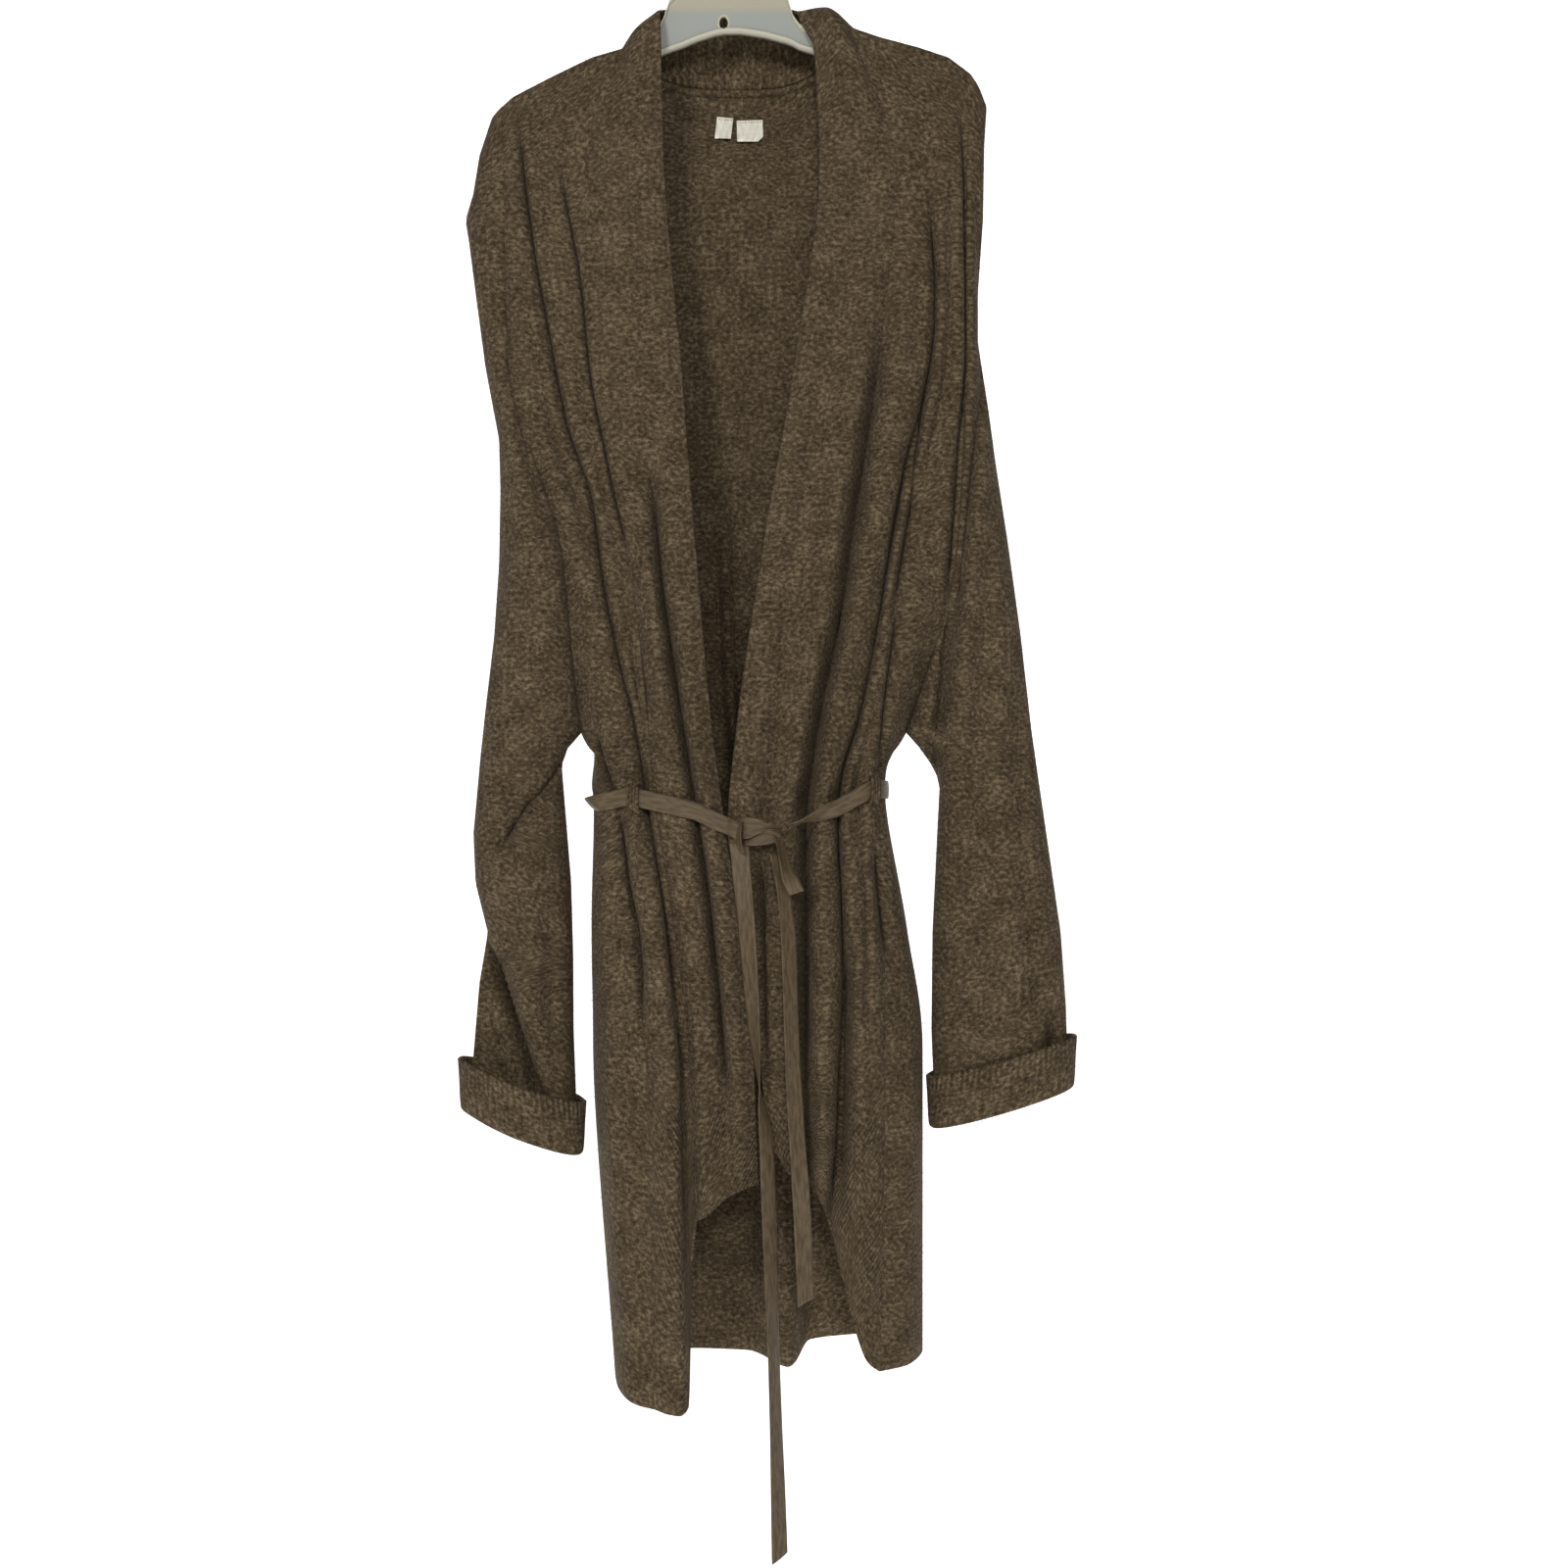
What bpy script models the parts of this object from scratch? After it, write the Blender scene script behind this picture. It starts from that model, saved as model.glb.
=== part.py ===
# High-low cardigan with a ribbon belt, hanging on a moulded clothes hanger.
#
# Sizes are in millimetres and become metres in the finished meshes. X runs to the right as seen
# from the front, Y runs to the back and Z runs up. The origin is where the hook bears on its rod.
# Left and right are as seen from the front.

import math
from collections import namedtuple

import bpy
import numpy as np

MM = 0.001
KNIT_WALL = 2.6
RIBBON_WALL = 1.0
RIBBON_WIDTH = 13.5
LABEL_WALL = 0.8
SEAM_GAP = 0.3
LAID_GAP = 0.4

# The tables give places across as they show from the front, this far away, level with the chest.
VIEW_DISTANCE = 1600.0
VIEW_ACROSS = 39.0

# Every long piece has the same rows, from the shoulder seam down to the hem.
SHOULDER_RADIUS = 8.5
STATION_HEIGHTS = {"yoke": -250.0, "chest": -400.0, "rib": -550.0, "underarm": -690.0,
                   "hip": -850.0, "thigh": -945.0}
STATION_ROWS = np.array([0, 1, 2, 5, 9, 13, 17, 20, 24, 27, 31])
LAST_ROW = 31
UNDERARM_ROW = 17
WAIST_ROW = 20

# The shoulder line over the hanger's arms: across, height.
RIDGE = np.array([(-184, -195), (-175, -187), (-144, -171), (-113, -156), (-89, -149),
                  (94, -133), (115, -140), (145, -148), (169, -156), (185, -168)], float)
SHOULDER_TIP_LEFT = -184.0
SHOULDER_TIP_RIGHT = 185.0

# The belt's height where it crosses the front: across, height.
BELT_FRONT = np.array([(-118, -752), (-80, -742), (-30, -753), (5, -769), (34, -769),
                       (54, -760), (80, -751), (108, -736), (124, -738)], float)
BELT_BACK_HEIGHT = -745.0
BELT_BACK_SLOPE = 0.06

# One row for each seam or fold line, with its (across, depth) at each station and the hem's height.
Fold = namedtuple("Fold", "name yoke chest rib underarm waist hip thigh hem hem_height")

FRONT_LEFT_FOLDS = [
    Fold("side seam", (-184, -15), (-181, -20), (-139, -26), (-122, -4), (-82, -60), (-76, -60),
         (-70, -62), (-64, -58), -1212),
    Fold("sleeve crest", (-178, -19), (-166, -28), (-125, -35), (-98, -36), (-79, -53), (-69, -66),
         (-61, -70), (-53, -64), -1214),
    Fold("long trough", (-169, -16), (-147, -20), (-111, -24), (-80, -34), (-75, -46), (-63, -68),
         (-53, -71), (-44, -65), -1215),
    Fold("lap edge", (-148, -21), (-133, -26), (-100, -34), (-77, -37), (-72, -46), (-58, -62),
         (-47, -65), (-38, -59), -1211),
    Fold("lap foot", (-133, -20), (-124, -24), (-92, -31), (-74, -36), (-69, -52), (-54, -50),
         (-42, -52), (-35, -51), -1108),
    Fold("band seam", (-119, -22), (-115, -26), (-85, -33), (-70, -42), (-65, -60), (-48, -54),
         (-37, -56), (-31, -56), -1068),
]
BAND_LEFT_FOLDS = [
    FRONT_LEFT_FOLDS[-1],
    Fold("outer crest", (-103, -26), (-97, -34), (-73, -42), (-58, -54), (-54, -67), (-36, -65),
         (-27, -68), (-22, -68), -1061),
    Fold("middle fold", (-86, -27), (-80, -33), (-59, -36), (-41, -46), (-31, -61), (-17, -58),
         (-9, -61), (-6, -64), -1048),
    Fold("inner crest", (-70, -28), (-61, -37), (-44, -43), (-29, -55), (-20, -68), (-6, -66),
         (2, -68), (5, -68), -1042),
    Fold("free edge", (-57, -25), (-44, -33), (-32, -40), (-19, -52), (-9, -64), (5, -62),
         (14, -64), (18, -64), -1038),
]
BAND_RIGHT_FOLDS = [
    Fold("band seam", (129, -24), (115, -31), (92, -37), (67, -46), (56, -51), (55, -49),
         (55, -48), (58, -52), -1036),
    Fold("outer crest", (116, -27), (101, -38), (78, -46), (53, -58), (44, -66), (45, -62),
         (48, -62), (55, -61), -1035),
    Fold("middle fold", (101, -27), (83, -37), (59, -42), (37, -53), (28, -64), (35, -65),
         (39, -66), (45, -67), -1031),
    Fold("inner crest", (84, -28), (66, -39), (41, -48), (20, -62), (11, -71), (23, -68),
         (30, -68), (36, -68), -1018),
    Fold("free edge", (68, -25), (49, -33), (23, -42), (2, -56), (-5, -68), (12, -63),
         (21, -64), (27, -64), -1007),
]
FRONT_RIGHT_FOLDS = [
    BAND_RIGHT_FOLDS[0],
    Fold("inner crest", (140, -26), (133, -38), (108, -45), (80, -58), (68, -65), (70, -66),
         (68, -68), (68, -66), -1050),
    Fold("long trough", (156, -22), (154, -24), (122, -29), (94, -41), (80, -47), (83, -50),
         (80, -50), (77, -54), -1076),
    Fold("middle crest", (165, -25), (162, -30), (128, -36), (101, -50), (89, -60), (95, -64),
         (94, -66), (87, -62), -1112),
    Fold("short trough", (173, -22), (168, -25), (134, -31), (109, -46), (97, -55), (105, -61),
         (104, -65), (97, -62), -1152),
    Fold("side crest", (179, -20), (177, -27), (152, -38), (121, -42), (104, -60), (112, -58),
         (113, -61), (106, -60), -1175),
    Fold("side seam", (185, -15), (184, -20), (177, -26), (136, -4), (110, -54), (118, -50),
         (119, -54), (115, -54), -1184),
]
BACK_FOLDS = [
    Fold("left side seam", (-184, 15), (-181, 20), (-139, 26), (-122, 4), (-82, -60), (-76, -60),
         (-70, -62), (-64, -58), -1212),
    Fold("left wrap trough", (-176, 17), (-173, 23), (-133, 30), (-118, 9), (-92, -52),
         (-86, -53), (-80, -58), (-73, -58), -1210),
    Fold("left wrap crest", (-168, 18), (-165, 26), (-126, 33), (-114, 17), (-103, -50),
         (-100, -52), (-98, -54), (-82, -54), -1208),
    Fold("left edge", (-158, 19), (-154, 28), (-118, 36), (-110, 28), (-111, -20), (-113, -18),
         (-111, -13), (-92, -32), -1203),
    Fold("left corner", (-142, 20), (-138, 31), (-108, 40), (-102, 40), (-105, 22), (-111, 28),
         (-111, 32), (-94, 10), -1199),
    Fold("left neck line", (-105, 22), (-112, 32), (-94, 44), (-88, 50), (-80, 45), (-86, 54),
         (-86, 60), (-74, 42), -1199),
    Fold("left back", (-66, 26), (-68, 36), (-62, 46), (-55, 54), (-44, 52), (-46, 62),
         (-45, 68), (-36, 64), -1199),
    Fold("middle trough", (-20, 28), (-18, 38), (-14, 48), (-8, 55), (-4, 55), (0, 62),
         (4, 68), (9, 66), -1201),
    Fold("middle fold", (30, 28), (30, 38), (32, 48), (34, 55), (34, 54), (36, 52),
         (38, 42), (42, 24), -1203),
    Fold("right back", (75, 26), (73, 36), (68, 46), (66, 54), (60, 54), (64, 60),
         (62, 62), (60, 58), -1190),
    Fold("right neck line", (112, 21), (110, 32), (104, 42), (98, 49), (92, 44), (100, 54),
         (104, 59), (100, 61), -1186),
    Fold("right corner", (148, 19), (146, 29), (128, 38), (118, 38), (112, 24), (124, 34),
         (134, 36), (128, 34), -1183),
    Fold("right edge", (170, 18), (165, 27), (151, 33), (125, 25), (118, -14), (136, -6),
         (148, -4), (148, -8), -1180),
    Fold("right wrap crest", (179, 16), (174, 23), (167, 29), (131, 12), (117, -38), (132, -36),
         (142, -38), (138, -42), -1182),
    Fold("right side seam", (185, 15), (180, 20), (175, 26), (136, 4), (110, -54), (118, -50),
         (119, -54), (115, -54), -1184),
]
FRONT_LEFT_COLUMNS = (2, 2, 2, 2, 2)
FRONT_RIGHT_COLUMNS = (2, 2, 2, 2, 2, 2)
BACK_COLUMNS = (2, 2, 2, 2, 2, 3, 3, 3, 3, 3, 3, 3, 3, 3)
BAND_PLACES = np.array([0, 0.25, 0.375, 0.5, 0.625, 0.75, 1])

# Gathers that the belt draws into the back: the back's column, depth, and rows they reach.
Gather = namedtuple("Gather", "column depth reach_up reach_down")
GATHERS = [
    Gather(9, 7, 3, 4), Gather(12, 9, 5, 6), Gather(14, 6, 3, 4), Gather(17, 11, 6, 7),
    Gather(19, 7, 3, 5), Gather(22, 10, 5, 6), Gather(24, 8, 4, 4), Gather(27, 9, 4, 6),
    Gather(30, 7, 3, 4),
]

# The collar where it stands round the back of the neck, one row for each line of the back panel
# between the two neck points: the neck seam, the fullest point and the free edge.
NeckLine = namedtuple("NeckLine", "seam crest edge")
NECK_LINES = [
    NeckLine((-89, 0, -149), (-77, 1, -132), (-60, 3, -117)),
    NeckLine((-62, 34, -163), (-62, 35, -134), (-51, 29, -106)),
    NeckLine((-20, 45, -168), (-20, 44, -135), (-18, 37, -103)),
    NeckLine((28, 46, -167), (28, 45, -135), (24, 38, -103)),
    NeckLine((66, 36, -157), (61, 37, -129), (42, 22, -109)),
    NeckLine((94, 0, -133), (72, 0, -116), (50, 1, -119)),
]
# The first three rows of the back panel under the neck seam: backwards and upwards of it.
NECK_ROWS = ((0.0, 0.0), (1.0, -6.0), (1.5, -13.0))
# The same three points for the two rows below each neck point, on the front.
COLLAR_FRONT_LEFT = [((-77, -8, -135), (-60, -8, -122)), ((-76, -13, -141), (-59.5, -14, -131))]
COLLAR_FRONT_RIGHT = [((75, -9, -122), (57, -9, -137)), ((78, -14, -130), (63, -14, -151))]

# Sleeve outlines: height, across.
LEFT_OUTER = np.array([(-203, -192), (-234, -202), (-265, -207), (-285, -213), (-304, -210),
                       (-343, -205), (-402, -197), (-460, -186), (-500, -185), (-558, -186),
                       (-616, -190), (-675, -197), (-714, -201), (-772, -206), (-811, -204),
                       (-850, -194), (-889, -200), (-948, -204), (-990, -209)], float)
LEFT_INNER = np.array([(-690, -122), (-704, -134), (-718, -139), (-753, -136), (-811, -131),
                       (-870, -129), (-928, -128), (-967, -126), (-1025, -124)], float)
RIGHT_OUTER = np.array([(-179, 193), (-195, 199), (-226, 197), (-285, 196), (-343, 192),
                        (-382, 192), (-421, 198), (-480, 206), (-538, 215), (-616, 226),
                        (-694, 235), (-772, 246), (-850, 257), (-909, 261), (-990, 263)], float)
RIGHT_INNER = np.array([(-690, 137), (-702, 147), (-724, 162), (-737, 165), (-772, 162),
                        (-850, 158), (-928, 157), (-1005, 160)], float)
# Sleeve depths down the sleeve: height, fullness in front, fullness behind, middle.
LEFT_DEPTHS = np.array([(-200, 2, 2, 0), (-400, 6, 6, 0), (-600, 22, 20, 0), (-690, 27, 24, -2),
                        (-760, 32, 27, -4), (-870, 34, 29, -10), (-960, 30, 26, -20),
                        (-1030, 28, 24, -26)], float)
RIGHT_DEPTHS = np.array([(-200, 2, 2, 0), (-400, 6, 6, 0), (-600, 22, 20, 0), (-690, 28, 25, 0),
                         (-760, 33, 29, -2), (-870, 33, 30, -6), (-960, 28, 26, -8),
                         (-1030, 25, 23, -8)], float)
# How far the rings nearest the shoulder drop on their way out to the sleeve's outer edge.
LEFT_DROPS = (8.0, 12.0, 18.0, 18.0, 12.0, 8.0, 4.0)
RIGHT_DROPS = (11.0, 12.0, 14.0, 12.0, 8.0, 5.0, 3.0)
SLEEVE_HALF = 7
WIDE_SLEEVE = 80.0
MOST_SWELL = 0.4
LOWER_RINGS = 10
UNDERARM_DROP = 14.0
# Creases down the front of the sleeves: top and bottom (across, height), half width, depth as a
# share of the room inside, and whether all the cloth outside the line drops back, as a lap does.
Crease = namedtuple("Crease", "top bottom half_width depth lap")
LEFT_CREASES = [
    Crease((-192, -850), (-142, -984), 9, 0.45, True),
    Crease((-142, -700), (-186, -780), 10, 0.16, False),
]
RIGHT_CREASES = [
    Crease((186, -700), (196, -900), 12, 0.10, False),
    Crease((236, -880), (252, -960), 9, 0.14, False),
]
# A crease starts and ends softly: how far before its top and after its bottom, and over how long,
# as shares of its own length.
CREASE_BEFORE = 0.25
CREASE_RISE = 0.4
CREASE_AFTER = 0.12
CREASE_FALL = 0.3
SLEEVE_ROOM = KNIT_WALL + 2.6
MOST_PUSHED = 0.9
# Where a sleeve ends, at the bottom of its turned-back cuff: inner height and outer height.
LEFT_END = (-1018.0, -984.0)
RIGHT_END = (-1000.0, -968.0)
SleeveTable = namedtuple("SleeveTable", "outer inner depths drops end")
LEFT_SLEEVE = SleeveTable(LEFT_OUTER, LEFT_INNER, LEFT_DEPTHS, LEFT_DROPS, LEFT_END)
RIGHT_SLEEVE = SleeveTable(RIGHT_OUTER, RIGHT_INNER, RIGHT_DEPTHS, RIGHT_DROPS, RIGHT_END)
# The turned-back cuff's profile: outwards and upwards from the sleeve's end.
CUFF_PROFILE = ((0.0, 0.0), (0.8, -2.6), (2.8, -3.6), (4.7, -2.0), (5.5, 5.0), (6.2, 20.0),
                (7.2, 36.0))


def smooth(points, knots, places):
    """A curve through the points that never swings past them, read at the given places."""
    points = np.asarray(points, float)
    shape = points.shape[1:]
    flat = points.reshape(len(points), -1)
    knots = np.asarray(knots, float)
    gap = np.diff(knots)[:, None]
    rise = np.diff(flat, axis=0) / gap
    slope = np.zeros_like(flat)
    slope[0] = rise[0]
    slope[-1] = rise[-1]
    if len(points) > 2:
        before = rise[:-1]
        after = rise[1:]
        same_way = before * after > 0
        weight_before = 2 * gap[1:] + gap[:-1]
        weight_after = gap[1:] + 2 * gap[:-1]
        safe_before = np.where(same_way, before, 1.0)
        safe_after = np.where(same_way, after, 1.0)
        mean = (weight_before + weight_after) / (weight_before / safe_before + weight_after / safe_after)
        slope[1:-1] = np.where(same_way, mean, 0.0)
    places = np.asarray(places, float)
    piece = np.clip(np.searchsorted(knots, places, side="right") - 1, 0, len(knots) - 2)
    width = gap[piece]
    t = ((places - knots[piece])[:, None]) / width
    value = (flat[piece] * (2 * t**3 - 3 * t**2 + 1) + flat[piece + 1] * (3 * t**2 - 2 * t**3)
             + slope[piece] * width * (t**3 - 2 * t**2 + t) + slope[piece + 1] * width * (t**3 - t**2))
    return value.reshape((len(places),) + shape)


def between(table, place):
    """Read a table whose first column is a place, in either direction, at that place."""
    order = np.argsort(table[:, 0])
    return np.array([np.interp(place, table[order, 0], table[order, k])
                     for k in range(1, table.shape[1])])


def ramp(value):
    """0 below 0, 1 above 1, and an even rise between."""
    held = np.clip(value, 0.0, 1.0)
    return held * held * (3 - 2 * held)


def true_across(across, depth):
    """The real place of a line that shows at this place from the front."""
    return VIEW_ACROSS + (across - VIEW_ACROSS) * (1 + depth / VIEW_DISTANCE)


def waist_height(across, depth):
    """The belt's height: down to the knot in front, nearly level behind."""
    front = between(BELT_FRONT, across)[0]
    back = BELT_BACK_HEIGHT + BELT_BACK_SLOPE * across
    return front + (back - front) * ramp((depth + 20) / 40)


def places_of(counts):
    """Even places inside each interval of a table, as a running number of table rows."""
    places = [0.0]
    for row, count in enumerate(counts):
        places.extend(row + (step + 1) / count for step in range(count))
    return np.array(places)


def station_lines(folds, places):
    """The cross lines of a panel from the yoke to the hem, one line for each station."""
    lines = []
    knots = np.arange(len(folds)) * (places[-1] / (len(folds) - 1))
    for station in ("yoke", "chest", "rib", "underarm", "waist", "hip", "thigh", "hem"):
        points = []
        for fold in folds:
            across, depth = getattr(fold, station)
            if station == "waist":
                height = waist_height(across, depth)
            elif station == "hem":
                height = fold.hem_height
            else:
                height = STATION_HEIGHTS[station]
            points.append((true_across(across, depth), depth, height))
        lines.append(smooth(points, knots, places))
    return lines


def shoulder_lines(across, side):
    """The first three rows of a panel, where it bends over the hanger's arm."""
    lines = []
    for turn in (0.0, math.pi / 4, math.pi / 2):
        height = np.interp(across, RIDGE[:, 0], RIDGE[:, 1]) - SHOULDER_RADIUS * (1 - math.cos(turn))
        depth = np.full(len(across), side * SHOULDER_RADIUS * math.sin(turn))
        lines.append(np.stack([across, depth, height], axis=1))
    return lines


def panel(top_lines, folds, places):
    """All the rows of a panel: its shoulder rows, then its stations, with even rows between."""
    lines = np.array(list(top_lines) + station_lines(folds, places))
    return smooth(lines, STATION_ROWS, np.arange(LAST_ROW + 1))


def front_left_grid():
    across = np.linspace(SHOULDER_TIP_LEFT, NECK_LINES[0].seam[0], sum(FRONT_LEFT_COLUMNS) + 1)
    return panel(shoulder_lines(across, -1), FRONT_LEFT_FOLDS, places_of(FRONT_LEFT_COLUMNS))


def front_right_grid():
    across = np.linspace(NECK_LINES[-1].seam[0], SHOULDER_TIP_RIGHT, sum(FRONT_RIGHT_COLUMNS) + 1)
    return panel(shoulder_lines(across, -1), FRONT_RIGHT_FOLDS, places_of(FRONT_RIGHT_COLUMNS))


def neck_lines():
    """The collar's cross lines round the back of the neck, at the back panel's columns."""
    places = places_of(BACK_COLUMNS[5:10])
    rows = np.array([[line.seam, line.crest, line.edge] for line in NECK_LINES], float)
    return smooth(rows, np.arange(len(rows)), places)


def back_grid(front_left, front_right):
    neck = neck_lines()[:, 0]
    left = np.linspace(SHOULDER_TIP_LEFT, NECK_LINES[0].seam[0], sum(FRONT_LEFT_COLUMNS) + 1)
    right = np.linspace(NECK_LINES[-1].seam[0], SHOULDER_TIP_RIGHT, sum(FRONT_RIGHT_COLUMNS) + 1)
    left_lines = shoulder_lines(left, 1)
    right_lines = shoulder_lines(right, 1)
    top = []
    for row, (back, up) in enumerate(NECK_ROWS):
        middle = neck[1:-1] + np.array([0.0, back, up])
        top.append(np.concatenate([left_lines[row], middle, right_lines[row]]))
    grid = panel(top, BACK_FOLDS, places_of(BACK_COLUMNS))
    for gather in GATHERS:
        for row in range(WAIST_ROW - gather.reach_up, WAIST_ROW + gather.reach_down + 1):
            reach = gather.reach_up if row < WAIST_ROW else gather.reach_down
            fade = ramp(1 - abs(row - WAIST_ROW) / (reach + 1))
            grid[row, gather.column, 1] -= gather.depth * fade
    grid[UNDERARM_ROW + 1:, 0] = front_left[UNDERARM_ROW + 1:, 0]
    grid[UNDERARM_ROW + 1:, -1] = front_right[UNDERARM_ROW + 1:, -1]
    return grid


def band_grid(front_left, front_right):
    """The shawl band, from the left hem up, round the neck and down to the right hem."""
    places = BAND_PLACES
    knots = np.array([0, 0.5, 1])
    neck = np.array([smooth(line, knots, places) for line in neck_lines()])
    sides = []
    for folds, below, front in ((BAND_LEFT_FOLDS, COLLAR_FRONT_LEFT, front_left[:, -1]),
                                (BAND_RIGHT_FOLDS, COLLAR_FRONT_RIGHT, front_right[:, 0])):
        first = neck[0] if folds is BAND_LEFT_FOLDS else neck[-1]
        top = [first]
        for row, (crest, edge) in enumerate(below):
            top.append(smooth([tuple(front[row + 1]), crest, edge], knots, places))
        grid = panel(top, folds, places)
        grid[:, 0] = front
        sides.append(grid)
    return np.concatenate([sides[0][::-1], neck[1:-1], sides[1]])


def crease_share(creases, across, height):
    """How far back the creases push the front of a sleeve, as a share of the room inside."""
    pushed = 0.0
    for crease in creases:
        drop = crease.top[1] - crease.bottom[1]
        along = (crease.top[1] - height) / drop
        centre = crease.top[0] + (crease.bottom[0] - crease.top[0]) * along
        strength = ramp((along + CREASE_BEFORE) / CREASE_RISE)
        strength *= ramp((1 + CREASE_AFTER - along) / CREASE_FALL)
        outwards = (across - centre) * math.copysign(1.0, across)
        if crease.lap:
            shape = ramp(outwards / crease.half_width)
        else:
            shape = math.exp(-(outwards / crease.half_width) ** 2)
        pushed += crease.depth * strength * shape
    return pushed


def share_out(place, width):
    """How far out a sleeve column is: evenly round a narrow sleeve, closer at both edges of a wide one."""
    out = math.sin(math.pi * place / (2 * SLEEVE_HALF))
    wide = min(width / WIDE_SLEEVE, 1.0)
    return (1 - wide) * out + wide * out * out


def sleeve_point(share, seam, front, height, table, creases):
    """A sleeve point at a share of the way out from its seam to the outer edge."""
    seam_across, seam_depth = seam
    width = abs(between(table.outer, height)[0] - seam_across)
    across = seam_across + math.copysign(width * share, seam_across)
    full_front, full_behind, middle = between(table.depths, height)
    full_front = min(full_front, MOST_SWELL * width)
    full_behind = min(full_behind, MOST_SWELL * width)
    swell = 2 * math.sqrt(max(share * (1 - share), 0.0))
    open_depth = abs(seam_depth) * math.sqrt(max(1 - share * share, 0.0))
    shift = middle * (share if seam_depth else 1.0)
    ahead = shift - open_depth - swell * full_front
    behind = shift + open_depth + swell * full_behind
    if not front:
        return (across, behind, height)
    room = max(behind - ahead - SLEEVE_ROOM, 0.0)
    pushed = min(crease_share(creases, across, height), MOST_PUSHED)
    return (across, ahead + room * pushed, height)


def open_rings(front_seam, back_seam, table, creases):
    """Rings from the front of the armhole, out and round to the back of it, down to the underarm."""
    rings = []
    for row in range(UNDERARM_ROW + 1):
        drop = table.drops[row] if row < len(table.drops) else 0.0
        ring = []
        for place in range(2 * SLEEVE_HALF + 1):
            front = place <= SLEEVE_HALF
            seam = front_seam[row] if front else back_seam[row]
            share = share_out(place, abs(between(table.outer, seam[2])[0] - seam[0]))
            height = seam[2] - drop * share
            if row == 0:
                across = seam[0] + (between(table.outer, height)[0] - seam[0]) * share
                ring.append((across, 0.0, height))
            else:
                ring.append(sleeve_point(share, seam[:2], front, height, table, creases))
        ring[0] = tuple(front_seam[row])
        ring[-1] = tuple(back_seam[row])
        rings.append(ring)
    return rings


def closed_rings(first, table, creases):
    """Rings round the sleeve from just below the underarm to its slanted end."""
    rings = []
    for level in np.linspace(0, 1, LOWER_RINGS):
        inner_height = first + (table.end[0] - first) * level
        outer_height = first + (table.end[1] - first) * level
        ring = []
        for place in range(2 * SLEEVE_HALF):
            share = share_out(place, WIDE_SLEEVE)
            height = inner_height + (outer_height - inner_height) * share
            seam = (between(table.inner, height)[0], 0.0)
            ring.append(sleeve_point(share, seam, place <= SLEEVE_HALF, height, table, creases))
        rings.append(ring)
    return rings


def sleeve_mesh(front_seam, back_seam, table, creases):
    """Rings from the shoulder to the sleeve's end. The first one is folded flat on itself."""
    first = front_seam[UNDERARM_ROW, 2] - UNDERARM_DROP
    rings = open_rings(front_seam, back_seam, table, creases) + closed_rings(first, table, creases)
    points = []
    index = []
    for row, ring in enumerate(rings):
        start = len(points)
        if row == 0:
            kept = ring[:SLEEVE_HALF + 1]
            ids = [start + min(place, 2 * SLEEVE_HALF - place) for place in range(2 * SLEEVE_HALF + 1)]
        elif len(ring) == 2 * SLEEVE_HALF:
            kept = ring
            ids = [start + place % len(ring) for place in range(2 * SLEEVE_HALF + 1)]
        else:
            kept = ring
            ids = [start + place for place in range(len(ring))]
        points.extend(kept)
        index.append(ids)
    faces = []
    for above, below in zip(index, index[1:]):
        for place in range(2 * SLEEVE_HALF):
            faces.append((above[place], above[place + 1], below[place + 1], below[place]))
    points = np.array(points, float)
    last_ring = points[index[-1][:-1]]
    return points, faces, last_ring


def grid_mesh(grid):
    """The points and four-cornered faces of a plain grid."""
    rows, columns = grid.shape[:2]
    points = grid.reshape(-1, 3)
    faces = []
    for row in range(rows - 1):
        for column in range(columns - 1):
            start = row * columns + column
            faces.append((start, start + 1, start + columns + 1, start + columns))
    return points, faces


def cuff_mesh(ring):
    """A ring of cloth that goes on from the sleeve's end, turns outwards and stands up."""
    count = len(ring)
    ahead = np.roll(ring, -1, axis=0)
    behind = np.roll(ring, 1, axis=0)
    along = ahead - behind
    outwards = np.stack([along[:, 1], -along[:, 0], np.zeros(count)], axis=1)
    outwards /= np.linalg.norm(outwards, axis=1)[:, None]
    outwards += (np.roll(outwards, 1, axis=0) + np.roll(outwards, -1, axis=0)) / 2
    outwards /= np.linalg.norm(outwards, axis=1)[:, None]
    if np.sum(outwards * (ring - ring.mean(axis=0))) < 0:
        outwards = -outwards
    rows = [ring + outwards * out + np.array([0.0, 0.0, up]) for out, up in CUFF_PROFILE]
    points = np.concatenate(rows)
    faces = []
    for row in range(len(rows) - 1):
        for place in range(count):
            following = (place + 1) % count
            faces.append((row * count + place, row * count + following,
                          (row + 1) * count + following, (row + 1) * count + place))
    return points, faces


def split_faces(points, faces):
    """Two triangles for each face, across its shorter diagonal."""
    triangles = []
    for a, b, c, d in faces:
        first = np.linalg.norm(points[a] - points[c])
        second = np.linalg.norm(points[b] - points[d])
        if first <= second:
            triangles.extend([(a, b, c), (a, c, d)])
        else:
            triangles.extend([(a, b, d), (b, c, d)])
    return triangles


def corner_key(point):
    return tuple(np.round(np.asarray(point) * 100).astype(int))


def point_normals(points, triangles):
    normals = np.zeros_like(points)
    for a, b, c in triangles:
        normal = np.cross(points[b] - points[a], points[c] - points[a])
        normals[a] += normal
        normals[b] += normal
        normals[c] += normal
    return normals


def edge_loops(triangles):
    """The directed edges that only one triangle has."""
    edges = {}
    for a, b, c in triangles:
        for pair in ((a, b), (b, c), (c, a)):
            edges[pair] = True
    return [pair for pair in edges if (pair[1], pair[0]) not in edges]


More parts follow.
